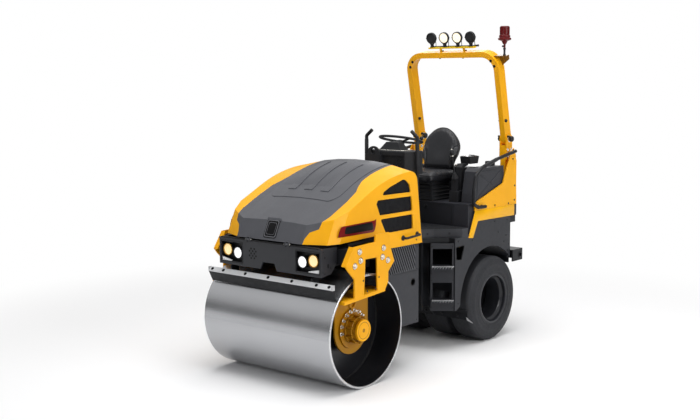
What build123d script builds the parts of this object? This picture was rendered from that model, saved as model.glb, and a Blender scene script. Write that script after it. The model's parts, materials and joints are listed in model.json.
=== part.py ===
from build123d import *
from math import cos, radians, sin, sqrt, tan
import os

# Combination road roller: one steel drum in front, four smooth tyres at the rear.
# Millimetres. X forward, Y to the machine's left, Z up, the ground at Z = 0.
# The model is drawn with the drum's axis at X = 0 and shifted to its middle when it is written.

# ---- clearances ----
RUNNING = 0.05          # radial clearance of a pin in its bore
SEAT = 0.3              # gap between curved faces that fit together
SWING_GAP = 6.0         # air left round pieces that move past each other

# ---- drum ----
drum_width = 1300.0
drum_radius = 430.0
drum_shell = 16.0
drum_head_y = 410.0     # outer face of each drum head
drum_head = 20.0
drum_edge = 3.0         # chamfer round the ends of the shell
drum_stub_radius = 30.0
drum_stub_length = 150.0
drain_hole_radius = 22.0
drain_hole_place = 250.0
drum_z = drum_radius
drum_bore = drum_radius - drum_shell

# ---- drum motors, held by the yoke arms ----
motor_flange_radius = 150.0
motor_flange = 15.0
motor_body_radius = 96.0
motor_neck_radius = 90.0
motor_cap_radius = 82.0
motor_cap = 20.0
motor_length = 120.0    # from the arm's outer face to the cap's face
motor_ring_radius = 112.0

# ---- yokes ----
yoke_outer_y = 685.0
yoke_plate = 12.0
yoke_arm_y = 500.0      # outer face of the inner arm
yoke_arm = 15.0
yoke_arm_half_width = 195.0
yoke_flange_depth = 45.0
ledge_plate = 25.0
ledge_rear = (-175.0, 735.0)
ledge_front = (300.0, 703.0)
yoke_bolt_radius = 12.0
yoke_bolt_head = 14.0

# ---- front frame ----
body_half_width = 560.0
panel_plate = 10.0
rail_inner = 440.0
rail_outer = 500.0
rail_bottom = 930.0
rail_top = 1060.0
rail_front = 300.0
front_frame_rear = -760.0
front_frame_bottom = 350.0
bulkhead_x = -490.0
frame_plate = 20.0

# ---- articulation ----
wheelbase = 1830.0
pivot_x = -920.0
pivot_pin_radius = 30.0
pivot_boss_radius = 70.0
pivot_lug = 30.0
pivot_hub_bottom = 482.0
pivot_hub_top = 628.0
pivot_gap = 2.0
oscillation_sleeve = 55.0

# ---- steering cylinder ----
cylinder_z = 720.0
barrel_eye = (-1090.0, 115.0)
rod_eye = (-800.0, 100.0)
cylinder_radius = 28.0
cylinder_rod_radius = 14.0
cylinder_eye_radius = 22.0
cylinder_pin_radius = 12.0
cylinder_eye_height = 28.0
cylinder_ear = 12.0
CYLINDER_EARS = (  # height of the lower face of each ear that holds an eye
    cylinder_z - cylinder_eye_height / 2 - pivot_gap - cylinder_ear,
    cylinder_z + cylinder_eye_height / 2 + pivot_gap,
)

# ---- rear frame ----
rear_front_x = -1130.0
rear_front_half_width = 330.0
rear_corner = (-1160.0, 400.0)
rear_side_x = -1290.0
rear_bottom = 345.0
deck_bottom = 841.5
deck_top = 960.0
rear_wall_x = -2163.0
rear_post_x = -2262.0
spine_half_width = 250.0
spine_rear = -1352.0
wheel_scraper_x = -1446.0
wheel_scraper = 14.0

# ---- wheels ----
tyre_radius = 371.0
tyre_width = 250.0
tyre_outer_y = 603.0
tyre_gap = 30.0
rim_radius = 212.0
rim_wall = 10.0
rim_flange = 7.0
wheel_disc = 22.0
wheel_hub_radius = 78.0
axle_radius = 40.0
axle_x = -wheelbase
axle_z = tyre_radius
arch_radius = 460.0
arch_liner = 8.0

# ---- rear beam, tow hitch and tie-down holes ----
beam_rear_x = -2330.0
beam_bottom = 650.0
beam_top = 755.0
beam_plate = 12.0
beam_half_width = 590.0
hitch_z = 700.0
hitch_x = -2240.0
hitch_radius = 16.0
tie_down_radius = 20.0

# ---- bumper and head lamps ----
bumper_face_x = 367.0
bumper_plate = 12.0
bumper_half_width = 527.0
bumper_bottom = 869.0
bumper_top = 1076.0
lamp_recess = (280.0, 505.0)
lamp_recess_height = (895.0, 1045.0)
lamp_radius = 45.0

# ---- drum scrapers ----
scraper_x = 352.0
scraper_half_width = 639.0
scraper_strip = 8.0

# ---- hood ----
hood_wall = 12.0
hood_bottom_front = 1094.0
hood_bottom_rear = 987.0
hood_nose_x = 365.0
hood_brow = (303.0, 1228.0)         # x, z of the bends in side view
hood_knee = (-140.0, 1443.0)
hood_crest = (-397.0, 1550.0)
hood_rear_top = (-665.0, 1607.0)
hood_rear_bend = (-728.0, 1578.0)
hood_rear_edge = (-748.0, 1500.0)
hood_rear_low = (-801.0, 1089.0)
hood_foot_x = -818.0
hood_step = (-240.0, 1110.0)
hood_shoulder_y = 366.0
hood_shoulder_drop = 40.0
hood_nose_half_width = 327.0
hood_cheek = (290.0, 515.0)         # x, half width where the nose turns to the side
hood_side_x = 205.0
hood_skirt = 90.0                   # how far the inner form runs below the outer one
hood_field = 4.0                    # height of the raised field on the cover
hood_rib = 9.0                      # height of the three ribs on it
hood_rib_half_width = 38.0
hood_rib_spacing = 168.0
hood_hinge_x = 375.0
hood_hinge_z = 1085.0
hood_open = 60.0

# ---- operator's place ----
floor_top = 1030.0
seat_box_top = 1225.0
seat_box_inset = 15.0   # from the body's side to the side of the seat box and the tank
tank_pod = 130.0
tank_top = 1520.0
seat_height = 1480.0
seat_cushion = 90.0
seat_width = 420.0
seat_back_lean = 13.0
seat_back_thickness = 75.0
seat_back_height = 396.0
seat_bolster = 80.0
console_y = (300.0, 385.0)
console_top = 1320.0
handrail_radius = 15.0
steering_x = -1279.0
steering_z = 1768.0
steering_lean = 12.0
steering_radius = 182.0
steering_dish = 20.0
steering_shaft_radius = 12.0
dash_front_x = -1085.0
dash_half_width = 240.0
dash_bottom = 1500.0
dash_top = 1684.0

# ---- roll-over frame ----
rops_side_gap = 63.0    # from the body's side to the outside of the hoop
rops_width = 2 * (body_half_width - rops_side_gap)
rops_tube_depth = 100.0
rops_tube = 50.0
rops_lean = 11.8
rops_height = 795.0     # from the hinge pin to the top, along the lean
rops_bend = 170.0
rops_hinge_z = 1746.0
rops_hinge_x = -2212.0
rops_pin_radius = 15.0
cheek_plate = 10.0
cheek_gap = 1.0
light_bar_gap = 30.0
light_bar_height = 14.0
work_lamp_radius = 50.0
beacon_radius = 42.0
beacon_flange_radius = 58.0


# ---- plain building steps ----
def side_plane(y):
    """Plane facing -Y: its own x and y run along the machine's X and Z."""
    return Plane(origin=(0, y, 0), x_dir=(1, 0, 0), z_dir=(0, -1, 0))


def side_plate(points, y_low, y_high, corner=0.0):
    """Plate drawn in side view from (x, z) points, between two Y places."""
    outline = Polygon(*points, align=None)
    if corner:
        outline = fillet(outline.vertices(), corner)
    return extrude(side_plane(y_high) * outline, y_high - y_low, dir=(0, -1, 0))


def plan_plate(points, z_low, z_high, corner=0.0):
    """Plate drawn from above from (x, y) points, between two heights."""
    outline = Polygon(*points, align=None)
    if corner:
        outline = fillet(outline.vertices(), corner)
    return extrude(Plane.XY.offset(z_low) * outline, z_high - z_low, dir=(0, 0, 1))


def block(x, y, z):
    """Box between pairs of X, Y and Z places."""
    size = (x[1] - x[0], y[1] - y[0], z[1] - z[0])
    middle = ((x[0] + x[1]) / 2, (y[0] + y[1]) / 2, (z[0] + z[1]) / 2)
    return Pos(*middle) * Box(*size)


def upright(x, y, z_low, z_high, radius):
    """Vertical round bar."""
    bar = Cylinder(radius, z_high - z_low, align=(Align.CENTER, Align.CENTER, Align.MIN))
    return Pos(x, y, z_low) * bar


def crossbar(x, z, y_low, y_high, radius):
    """Round bar along Y."""
    return extrude(side_plane(y_high) * Pos(x, z) * Circle(radius), y_high - y_low)


def turned(points, x, z):
    """Solid turned about a Y axis through (x, z) from (radius, y) points."""
    frame = Plane(origin=(x, 0, z), x_dir=(1, 0, 0), z_dir=(0, 0, 1))
    profile = frame * Polygon(*points, align=None)
    return revolve(profile, Axis((x, 0, z), (0, 1, 0)))


def facing(place, points):
    """Solid turned about the place's own Z axis from (radius, distance) points."""
    return place * revolve(Plane.XZ * Polygon(*points, align=None), Axis.Z)


def bent_tube(points, radius, bends):
    """Round tube along straight runs joined by arcs."""
    path = FilletPolyline(*points, radius=bends)
    start = Plane(origin=path @ 0, z_dir=path % 0)
    return sweep(start * Circle(radius), path=path)


def other_side(shape):
    """The same piece on the machine's right."""
    return mirror(shape, about=Plane.XZ)


def both_sides(shape):
    return shape + other_side(shape)


# ---- drum ----
def make_drum():
    half = drum_width / 2
    land = drum_radius - drum_edge
    profile = [(drum_bore, -half), (land, -half), (drum_radius, -half + drum_edge),
               (drum_radius, half - drum_edge), (land, half), (drum_bore, half)]
    shell = turned(profile, 0, drum_z)
    head = crossbar(0, drum_z, drum_head_y - drum_head, drum_head_y, drum_bore + 1)
    for side in (-1, 1):
        head -= crossbar(side * drain_hole_place, drum_z, drum_head_y - 2 * drum_head,
                         drum_head_y + 1, drain_hole_radius)
    stub = crossbar(0, drum_z, drum_head_y - drum_head, drum_head_y + drum_stub_length, drum_stub_radius)
    hub = crossbar(0, drum_z, drum_head_y, drum_head_y + 4, motor_neck_radius - 10)
    return shell + both_sides(head + stub + hub)


def make_drum_motor():
    inner = drum_head_y + 4 + SWING_GAP
    outer = yoke_arm_y + motor_length
    profile = [
        (0, inner),
        (motor_neck_radius - SEAT, inner),
        (motor_neck_radius - SEAT, yoke_arm_y),
        (motor_flange_radius, yoke_arm_y),
        (motor_flange_radius, yoke_arm_y + motor_flange),
        (motor_ring_radius, yoke_arm_y + motor_flange),
        (motor_ring_radius, yoke_arm_y + 2 * motor_flange),
        (motor_body_radius, yoke_arm_y + 2 * motor_flange),
        (motor_cap_radius - 12, outer - motor_cap),
        (motor_cap_radius, outer - motor_cap),
        (motor_cap_radius, outer - 4),
        (motor_cap_radius - 4, outer),
        (0, outer),
    ]
    motor = turned(profile, 0, drum_z)
    bore_end = drum_head_y + drum_stub_length + 5
    return motor - crossbar(0, drum_z, inner - 1, bore_end, drum_stub_radius + RUNNING)


# ---- yokes ----
YOKE_BOLTS = [  # x, z
    (127, 1045), (116, 979), (182, 947), (-155, 1040), (-142, 973), (-206, 941),
]


def make_yoke():
    ledge_rear_x, ledge_rear_z = ledge_rear
    ledge_front_x, ledge_front_z = ledge_front
    inner_y = yoke_arm_y - yoke_arm
    outline = [
        (85, ledge_front_z), (186, ledge_front_z), (185, 850), (259, 923), (283, 956), (195, 1087),
        (-56, 1095), (-60, 1150), (-225, 1150), (-247, 1020), (-287, 924), (-213, 854), (-213, 780),
        (ledge_rear_x, ledge_rear_z - ledge_plate / 2), (85, ledge_rear_z - ledge_plate),
    ]
    plate = side_plate(outline, yoke_outer_y - yoke_plate, yoke_outer_y)
    slot = [(60, 982), (-77, 979), (-82, ledge_rear_z - ledge_plate), (77, ledge_front_z)]
    plate -= side_plate(slot, yoke_outer_y - yoke_plate - 1, yoke_outer_y + 1)
    flange = [(195, 1087), (283, 956), (273, 949), (185, 1080)]
    plate += side_plate(flange, yoke_outer_y - yoke_flange_depth, yoke_outer_y)
    ledge = [
        ledge_rear, ledge_front,
        (ledge_front_x, ledge_front_z - ledge_plate), (ledge_rear_x, ledge_rear_z - ledge_plate),
    ]
    shelf = side_plate(ledge, inner_y, yoke_outer_y)
    half = yoke_arm_half_width
    arm_top = [
        (-half, drum_z), (half, drum_z), (half, ledge_front_z - ledge_plate / 2),
        (ledge_rear_x, ledge_rear_z - ledge_plate / 2), (-half, ledge_rear_z - 2 * ledge_plate),
    ]
    arm = side_plate(arm_top, inner_y, yoke_arm_y)
    arm += crossbar(0, drum_z, inner_y, yoke_arm_y, half)
    arm -= crossbar(0, drum_z, inner_y - 1, yoke_arm_y + 1, motor_neck_radius)
    for x, z in YOKE_BOLTS:
        plate += crossbar(x, z, yoke_outer_y - 1, yoke_outer_y + yoke_bolt_head, yoke_bolt_radius)
    return plate + shelf + arm


# ---- front frame ----
def make_front_frame():
    rail = block((front_frame_rear, rail_front), (rail_inner, rail_outer), (rail_bottom, rail_top))
    mounts = block((100, 190), (rail_outer, yoke_outer_y - yoke_plate), (945, 1060))
    mounts += block((-212, -132), (rail_outer, yoke_outer_y - yoke_plate), (945, 1060))
    panel_inner = body_half_width - panel_plate
    hanger = side_plate([(275, rail_bottom + 5), (rail_front, rail_bottom + 5), (rail_front, 880),
                         (scraper_x, 850), (scraper_x, 780), (275, 800)], 410, 425)
    frame = both_sides(rail + mounts + hanger)
    frame += block((260, rail_front), (-rail_inner, rail_inner), (rail_bottom, rail_top))
    frame += block((bulkhead_x, bulkhead_x + frame_plate), (-panel_inner, panel_inner),
                   (front_frame_bottom, 880))
    frame += both_sides(block((bulkhead_x, bulkhead_x + frame_plate), (rail_inner, rail_outer),
                              (870, rail_bottom + 5)))
    for beam_x in (-640, -220):
        frame += block((beam_x, beam_x + 40), (-rail_inner - 5, rail_inner + 5), (870, 900))
        frame += both_sides(block((beam_x, beam_x + 40), (rail_inner, rail_outer), (870, rail_bottom + 5)))
    frame += block((front_frame_rear, bulkhead_x + 5), (-panel_inner, panel_inner),
                   (front_frame_bottom, front_frame_bottom + frame_plate))
    frame += block((front_frame_rear, front_frame_rear + frame_plate), (-panel_inner, panel_inner),
                   (front_frame_bottom, rail_bottom + 5))
    for side in (-1, 1):
        frame += block((rail_front - 5, 355), (side * 150 - 40, side * 150 + 40), (960, 1040))
    lug_length = front_frame_rear - pivot_x
    for low in (pivot_hub_bottom - pivot_gap - pivot_lug, pivot_hub_top + pivot_gap):
        lug = plan_plate([(front_frame_rear + 5, -120), (front_frame_rear + 5, 120),
                          (pivot_x, pivot_boss_radius), (pivot_x, -pivot_boss_radius)],
                         low, low + pivot_lug)
        lug += upright(pivot_x, 0, low, low + pivot_lug, pivot_boss_radius)
        frame += lug
    frame -= upright(pivot_x, 0, 300, 800, pivot_pin_radius + RUNNING)
    eye_x, eye_y = rod_eye
    for low in CYLINDER_EARS:
        ear = block((eye_x, front_frame_rear + 5), (eye_y - cylinder_eye_radius, eye_y + cylinder_eye_radius),
                    (low, low + cylinder_ear))
        ear += upright(eye_x, eye_y, low, low + cylinder_ear, cylinder_eye_radius)
        frame += ear - upright(eye_x, eye_y, low - 1, low + cylinder_ear + 1, cylinder_pin_radius)
    return frame


def make_side_panel():
    inner_y = body_half_width - panel_plate
    outline = [(-770, 347), (-770, 980), (-240, 980), (-240, 860), (-430, 600), (-500, 347)]
    panel = side_plate(outline, inner_y, body_half_width)
    panel -= crossbar(0, drum_z, inner_y - 1, body_half_width + 1, drum_radius + 25)
    panel -= crossbar(-696, 684, inner_y - 1, body_half_width + 1, 32)
    slot_pitch = 17.0
    slot_width = 8.0
    slot_slant = 118.0
    slot_bottom, slot_top = 792.0, 966.0
    for number in range(11):
        low_x = -722 + number * slot_pitch
        high_x = low_x + slot_slant
        slot = [(low_x, slot_bottom), (low_x + slot_width, slot_bottom),
                (high_x + slot_width, slot_top), (high_x, slot_top)]
        panel -= side_plate(slot, inner_y - 1, body_half_width + 1)
    return panel


def make_bumper():
    face_x, half = bumper_face_x, bumper_half_width
    low, high = bumper_bottom, bumper_top
    recess_low, recess_high = lamp_recess_height
    pod_wall = 8.0
    face = block((face_x - bumper_plate, face_x), (-half, half), (low, high))
    rear_x = 195.0
    return_outline = [(face_x, high), (rear_x, high), (rear_x, low + 91), (rear_x + 65, low + 15),
                      (face_x, low)]
    returns = both_sides(side_plate(return_outline, half - bumper_plate, half))
    lip = block((face_x - 40, face_x + 6), (-half, half), (high - 8, high))
    bumper = face + returns + lip
    for side in (-1, 1):
        inner, outer = sorted((side * lamp_recess[0], side * lamp_recess[1]))
        bumper -= block((face_x - bumper_plate - 1, face_x + 7), (inner, outer), lamp_recess_height)
        pod = block((310, face_x - bumper_plate + 1), (inner - pod_wall, outer + pod_wall),
                    (recess_low - pod_wall, recess_high + pod_wall))
        pod -= block((310 + pod_wall, face_x), (inner, outer), lamp_recess_height)
        bumper += pod
    notch = [(-85, low - 1), (-60, low + 55), (60, low + 55), (85, low - 1)]
    front = Plane(origin=(face_x - 50, 0, 0), x_dir=(0, 1, 0), z_dir=(1, 0, 0))
    bumper -= extrude(front * Polygon(*notch, align=None), 100, dir=(1, 0, 0))
    for side in (-1, 1):
        for offset in (-26, 14):
            y_low = side * 200 + offset
            knuckle = crossbar(hood_hinge_x, hood_hinge_z, y_low, y_low + 12, 8)
            knuckle += block((face_x - 4, hood_hinge_x + 3), (y_low, y_low + 12), (high - 10, hood_hinge_z))
            bumper += knuckle
        bumper += crossbar(hood_hinge_x, hood_hinge_z, side * 200 - 26, side * 200 + 26, 4)
    return bumper


def make_head_lamps():
    back_x = 318.0
    depth = 42.0
    profile = [(0, 0), (lamp_radius - 8, 0), (lamp_radius, 12), (lamp_radius, depth), (lamp_radius - 3, depth),
               (lamp_radius - 5, depth - 5), (0, depth - 2)]
    lamps = Part()
    middle = sum(lamp_recess_height) / 2
    for y, z in ((442, middle + 13), (334, middle - 4), (-334, middle - 4), (-442, middle + 13)):
        lamps += facing(Pos(back_x, y, z) * Rot(0, 90, 0), profile)
    return lamps


def make_drum_scrapers():
    half = scraper_half_width
    back_x = scraper_x
    top_z = 822.0
    low_x, low_z = 384.0, 794.0
    step = scraper_strip / sqrt(2)
    bar = block((back_x, back_x + scraper_strip), (-half, half), (775, top_z + 2))
    strip = side_plate([(back_x, top_z), (back_x + step, top_z + step),
                        (low_x + step, low_z + step), (low_x, low_z)], -half, half)
    blade = side_plate([(low_x - 8, low_z + 8), (low_x + 1, low_z + 3), (344, 714), (337, 718)], -half, half)
    front = bar + strip + blade
    rear = side_plate([(-470, 640), (-470, 600), (-418, 575), (-418, 583)], -520, 520)
    return front + rear


def make_engine():
    engine = block((-650, -150), (-230, 230), (900, 1390))
    return chamfer(engine.edges().filter_by(Axis.X), 40)


# ---- hood ----
def hood_section(y, crown, drop, inset, low_extra):
    """Hood outline in side view at one Y place, with its share of the crown and of the shoulder's drop."""
    bottom_front = hood_bottom_front - low_extra
    bottom_rear = hood_bottom_rear - low_extra
    fall = hood_shoulder_drop * drop

    def bend(point, rise, fall_share, forward, down):
        """A bend moved by the crown, the drop and the inset."""
        return point[0] + forward * inset, point[1] + rise * crown - fall * fall_share - down * inset

    nose = (hood_nose_x - inset, bottom_front)
    brow = bend(hood_brow, 8, 0, -1, 1)
    knee = bend(hood_knee, 20, 0.1, 0, 1.1)
    crest = bend(hood_crest, 45, 0.5, 0, 1.05)
    rear_top = bend(hood_rear_top, 27, 1, 0, 1)
    rear_bend = bend(hood_rear_bend, 25, 1, 0.7, 0.7)
    rear_edge = (hood_rear_edge[0] + inset, hood_rear_edge[1])
    rear_low = (hood_rear_low[0] + inset, hood_rear_low[1])
    rear_foot = (hood_foot_x + inset, bottom_rear)
    step_low = (hood_step[0], bottom_rear)
    step_high = (hood_step[0] + 14, hood_step[1] - low_extra)
    edges = [
        Line(nose, brow),
        Line(brow, knee),
        ThreePointArc(knee, crest, rear_top),
        ThreePointArc(rear_top, rear_bend, rear_edge),
        Line(rear_edge, rear_low),
        Line(rear_low, rear_foot),
        Line(rear_foot, step_low),
        Line(step_low, step_high),
        Line(step_high, nose),
    ]
    face = make_face(Curve() + edges)
    return side_plane(y) * face


def hood_form(inset, low_extra):
    """Solid of the whole hood, drawn in by an inset and lengthened downwards."""
    half = body_half_width - inset
    shoulder = hood_shoulder_y
    stations = [  # y, share of the crown, share of the shoulder's drop
        (-half, 0, 1), (-shoulder, 0, 0), (-shoulder / 2, 0.75, 0), (0, 1, 0),
        (shoulder / 2, 0.75, 0), (shoulder, 0, 0), (half, 0, 1),
    ]
    form = loft([hood_section(y, crown, drop, inset, low_extra) for y, crown, drop in stations], ruled=True)
    nose, cheek, side = hood_nose_x - inset, hood_cheek[0] - inset, hood_side_x - inset
    cheek_half = hood_cheek[1] - inset / 2
    lean = 0.47
    outlines = []
    for z in (hood_bottom_rear - hood_skirt, hood_rear_top[1] + hood_shoulder_drop):
        back = lean * (z - hood_bottom_front)
        rear = hood_foot_x - hood_skirt
        outline = [
            (nose - back, hood_nose_half_width), (cheek - back, cheek_half), (side - back, half),
            (rear, half), (rear, -half), (side - back, -half),
            (cheek - back, -cheek_half), (nose - back, -hood_nose_half_width),
        ]
        outlines.append(Plane.XY.offset(z) * Polygon(*outline, align=None))
    return form & loft(outlines, ruled=True)


def cover_outline():
    """Where the dark centre panel lies, seen from above."""
    left = [(420, 320), (340, 342), (310, 365), (274, 425), (182, 450), (-11, 450), (-140, 435),
            (-197, 406), (-283, 375), (-397, 368), (-900, 366)]
    right = [(x, -y) for x, y in reversed(left)]
    return left + right


WINDOWS = [  # x, z round each side window, from the top one down
    [(-296, 1409), (-321, 1435), (-396, 1467), (-484, 1491), (-561, 1512), (-600, 1505), (-645, 1470),
     (-666, 1405)],
    [(-247, 1377), (-229, 1350), (-272, 1259), (-686, 1257), (-672, 1373)],
    [(-278, 1229), (-346, 1114), (-694, 1113), (-686, 1229)],
]


def field_outline():
    """The raised field on the cover, seen from above."""
    half = hood_shoulder_y - 28
    rear = hood_rear_bend[0]
    return [(15, -295), (15, 295), (-60, half), (rear, half), (rear, -half), (-60, -half)]


def make_hood():
    shell = hood_form(0.0, 0.0) - hood_form(hood_wall, hood_skirt)
    for window in WINDOWS:
        cutter = side_plate(window, body_half_width - 40, body_half_width + 20, corner=10)
        shell -= both_sides(cutter)
    low, high = hood_bottom_rear - hood_skirt, hood_rear_top[1] + 3 * hood_shoulder_drop
    prism = plan_plate(cover_outline(), low, high)
    cover = shell & prism
    sides = shell - prism
    under = hood_form(hood_wall / 2, hood_skirt)
    field = plan_plate(field_outline(), hood_knee[1] - 140, high, corner=40)
    cover += (hood_form(-hood_field, 0.0) & field) - under
    strips = Part()
    for y in (-hood_rib_spacing, 0, hood_rib_spacing):
        strips += block((-510, -80), (y - hood_rib_half_width, y + hood_rib_half_width), (hood_brow[1], high))
    cover += (hood_form(-hood_rib, 0.0) & strips) - under
    return sides, cover


def make_hood_hinge():
    leaf = Part()
    for side in (-1, 1):
        y_low = side * 200 - 12
        knuckle = crossbar(hood_hinge_x, hood_hinge_z, y_low, y_low + 24, 8)
        knuckle += block((356, hood_hinge_x + 3), (y_low, y_low + 24),
                         (hood_hinge_z + 2, hood_bottom_front + 8))
        knuckle -= crossbar(hood_hinge_x, hood_hinge_z, y_low - 1, y_low + 25, 4 + RUNNING)
        leaf += knuckle
    return leaf


def make_hood_grilles():
    outline = [(-225, 1130), (-225, 1395), (-400, 1480), (-560, 1520), (-640, 1500), (-690, 1420), (-705, 1105)]
    outer = body_half_width - hood_wall
    return both_sides(side_plate(outline, outer - 4, outer))


# ---- articulation, axle and rear frame ----
def make_rear_frame():
    frame = block((rear_front_x - frame_plate, rear_front_x), (-rear_front_half_width, rear_front_half_width),
                  (rear_bottom, deck_top))
    spine_x = (spine_rear, rear_front_x - 5)
    frame += both_sides(block(spine_x, (spine_half_width - 20, spine_half_width), (rear_bottom, deck_top)))
    frame += block(spine_x, (-spine_half_width, spine_half_width), (rear_bottom, rear_bottom + 15))
    deck = plan_plate([(rear_front_x, -rear_front_half_width), (rear_front_x, rear_front_half_width),
                       (-1290, 500), (-1290, 549), (rear_wall_x, 549), (rear_wall_x, -549), (-1290, -549),
                       (-1290, -500)], deck_top - 40, deck_top)
    frame += deck
    inner = body_half_width - panel_plate
    frame += block((rear_wall_x + 13, -1600), (-inner, inner), (deck_bottom, deck_top - 20))
    frame += block((rear_wall_x, rear_wall_x + 13), (-inner, inner), (640, deck_top))
    frame += block((rear_post_x, rear_wall_x + 7), (-inner, inner), (1000, 1163))
    frame += block((rear_wall_x, rear_wall_x + 7), (-inner, inner), (deck_top - 20, 1010))
    frame += side_plate([(-1640, 860), (-2020, 860), (-1930, 420), (-1730, 420)], -45, 45)
    arm = block((rear_front_x - 5, pivot_x), (-pivot_boss_radius, pivot_boss_radius),
                (pivot_hub_bottom, pivot_hub_top))
    arm += upright(pivot_x, 0, pivot_hub_bottom, pivot_hub_top, pivot_boss_radius)
    frame += arm
    pin_end = pivot_gap + pivot_lug + 5
    frame += upright(pivot_x, 0, pivot_hub_bottom - pin_end, pivot_hub_top + pin_end, pivot_pin_radius)
    eye_x, eye_y = barrel_eye
    for low in CYLINDER_EARS:
        ear = block((rear_front_x - 5, eye_x), (eye_y - cylinder_eye_radius, eye_y + cylinder_eye_radius),
                    (low, low + cylinder_ear))
        ear += upright(eye_x, eye_y, low, low + cylinder_ear, cylinder_eye_radius)
        frame += ear
    frame += upright(eye_x, eye_y, cylinder_z - 30, cylinder_z + 30, cylinder_pin_radius)
    scraper_arm = [(spine_rear + 5, 400), (wheel_scraper_x, 300), (wheel_scraper_x, 240),
                   (spine_rear + 5, rear_bottom)]
    frame += both_sides(side_plate(scraper_arm, spine_half_width - 20, spine_half_width))
    for low in (hitch_z - 37, hitch_z + 25):
        ear = block((hitch_x, rear_wall_x + 2), (-40, 40), (low, low + 12))
        ear += upright(hitch_x, 0, low, low + 12, 40)
        frame += ear - upright(hitch_x, 0, low - 1, low + 13, hitch_radius)
    return frame


def make_axle():
    shaft = crossbar(axle_x, axle_z, -395, 395, axle_radius)
    shaft += block((axle_x - 90, axle_x + 90), (-45, 45), (axle_z - 60, 420))
    return shaft


def make_rims():
    inner_y = tyre_outer_y - 2 * tyre_width - tyre_gap
    middle = tyre_outer_y - tyre_width - tyre_gap / 2
    flange_r = rim_radius + rim_flange
    base = rim_radius - SEAT
    bore = axle_radius + RUNNING
    low_disc, high_disc = middle - wheel_disc / 2, middle + wheel_disc / 2
    profile = [
        (bore, 275), (wheel_hub_radius, 275), (wheel_hub_radius, low_disc), (base - rim_wall, low_disc),
        (base - rim_wall, inner_y + 3), (flange_r, inner_y + 3), (flange_r, inner_y + 8), (base, inner_y + 8),
        (base, tyre_outer_y - 8), (flange_r, tyre_outer_y - 8), (flange_r, tyre_outer_y - 3),
        (base - rim_wall, tyre_outer_y - 3), (base - rim_wall, high_disc), (wheel_hub_radius, high_disc),
        (wheel_hub_radius, 390), (bore, 390),
    ]
    return turned(profile, axle_x, axle_z)


def make_tyre(outer_y):
    inner_y = outer_y - tyre_width
    rim = rim_radius
    flange_r = rim_radius + rim_flange + SEAT
    profile = [
        (rim, inner_y + 8 + SEAT), (flange_r, inner_y + 8 + SEAT), (flange_r, inner_y + 2),
        (flange_r + 12, inner_y), (rim + 90, inner_y), (tyre_radius - 24, inner_y + 12),
        (tyre_radius - 8, inner_y + 26), (tyre_radius, inner_y + 45), (tyre_radius, outer_y - 45),
        (tyre_radius - 8, outer_y - 26), (tyre_radius - 24, outer_y - 12), (rim + 90, outer_y),
        (flange_r + 12, outer_y),
        (flange_r, outer_y - 2), (flange_r, outer_y - 8 - SEAT), (rim, outer_y - 8 - SEAT),
    ]
    return turned(profile, axle_x, axle_z)


def make_tyres():
    inner_outer = tyre_outer_y - tyre_width - tyre_gap
    return Compound(children=[make_tyre(tyre_outer_y), make_tyre(inner_outer)])


def make_fender():
    inner_y = body_half_width - panel_plate
    outline = [(rear_side_x, rear_bottom), (rear_side_x, deck_top), (-1479, deck_top), (-1500, 970), (-1583, 1163),
               (rear_post_x, 1163), (rear_post_x, 1063), (rear_wall_x, 1063), (rear_wall_x, 640),
               (-1830, 500), (-1360, 371), (-1323, rear_bottom)]
    plate = side_plate(outline, inner_y, body_half_width)
    plate -= crossbar(axle_x, axle_z, inner_y - 1, body_half_width + 1, arch_radius)
    hole = [(-1300, 885), (-1430, 888), (-1384, 765), (-1308, 775)]
    plate -= side_plate(hole, inner_y - 1, body_half_width + 1, corner=10)
    liner = crossbar(axle_x, axle_z, 60, inner_y + 1, arch_radius + arch_liner)
    liner -= crossbar(axle_x, axle_z, 59, inner_y + 2, arch_radius)
    liner &= block((rear_wall_x + 13, -1340), (59, inner_y + 2), (480, 900))
    return plate + liner


def step_plane():
    """Plane on the angled step face: x along the face outwards, y up, z away from the machine."""
    start_x, start_y = rear_corner
    end = (rear_side_x, body_half_width)
    run = (end[0] - start_x, end[1] - start_y, 0)
    return Plane(origin=(start_x, start_y, 0), x_dir=run, z_dir=(run[1], -run[0], 0))


def make_step():
    start_x, start_y = rear_corner
    length = sqrt((rear_side_x - start_x) ** 2 + (body_half_width - start_y) ** 2)
    face = step_plane()
    high = deck_top - 40
    outline = Polygon((0, rear_bottom), (length - 12, rear_bottom), (length - 12, high), (0, high), align=None)
    unit = extrude(face.offset(-10) * outline, 10, dir=face.z_dir)
    for low in (437, 724):
        opening = Polygon((18, low), (length - 26, low), (length - 26, low + 150), (18, low + 150), align=None)
        unit -= extrude(face.offset(-20) * opening, 40, dir=face.z_dir)
        tread = Polygon((4, low - 24), (length - 16, low - 24), (length - 16, low), (4, low), align=None)
        unit += extrude(face.offset(-9) * tread, 49, dir=face.z_dir)
        shelf = Polygon((18, low - 12), (length - 26, low - 12), (length - 26, low), (18, low), align=None)
        unit += extrude(face.offset(-110) * shelf, 105, dir=face.z_dir)
    return unit


def make_floor():
    front_x = rear_front_x + 10
    sheet = 8.0
    half = body_half_width
    outline = [(front_x, -rear_front_half_width + 5), (front_x, rear_front_half_width - 5), (-1240, 380),
               (-1395, half), (-1478, half), (-1478, -half), (-1395, -half), (-1240, -380)]
    floor = plan_plate(outline, deck_top, floor_top)
    hollow = [(front_x - 10, -rear_front_half_width + 15), (front_x - 10, rear_front_half_width - 15),
              (-1246, 370), (-1400, half - 11), (-1440, half - 11), (-1440, 11 - half), (-1400, 11 - half),
              (-1246, -370)]
    return floor - plan_plate(hollow, deck_top - 1, floor_top - sheet)


def make_seat_box():
    half = body_half_width - seat_box_inset
    outline = [(-1480, 130 - half), (-1480, half - 130), (-1500, half), (-2150, half), (-2150, -half), (-1500, -half)]
    return plan_plate(outline, deck_top, seat_box_top)


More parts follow.
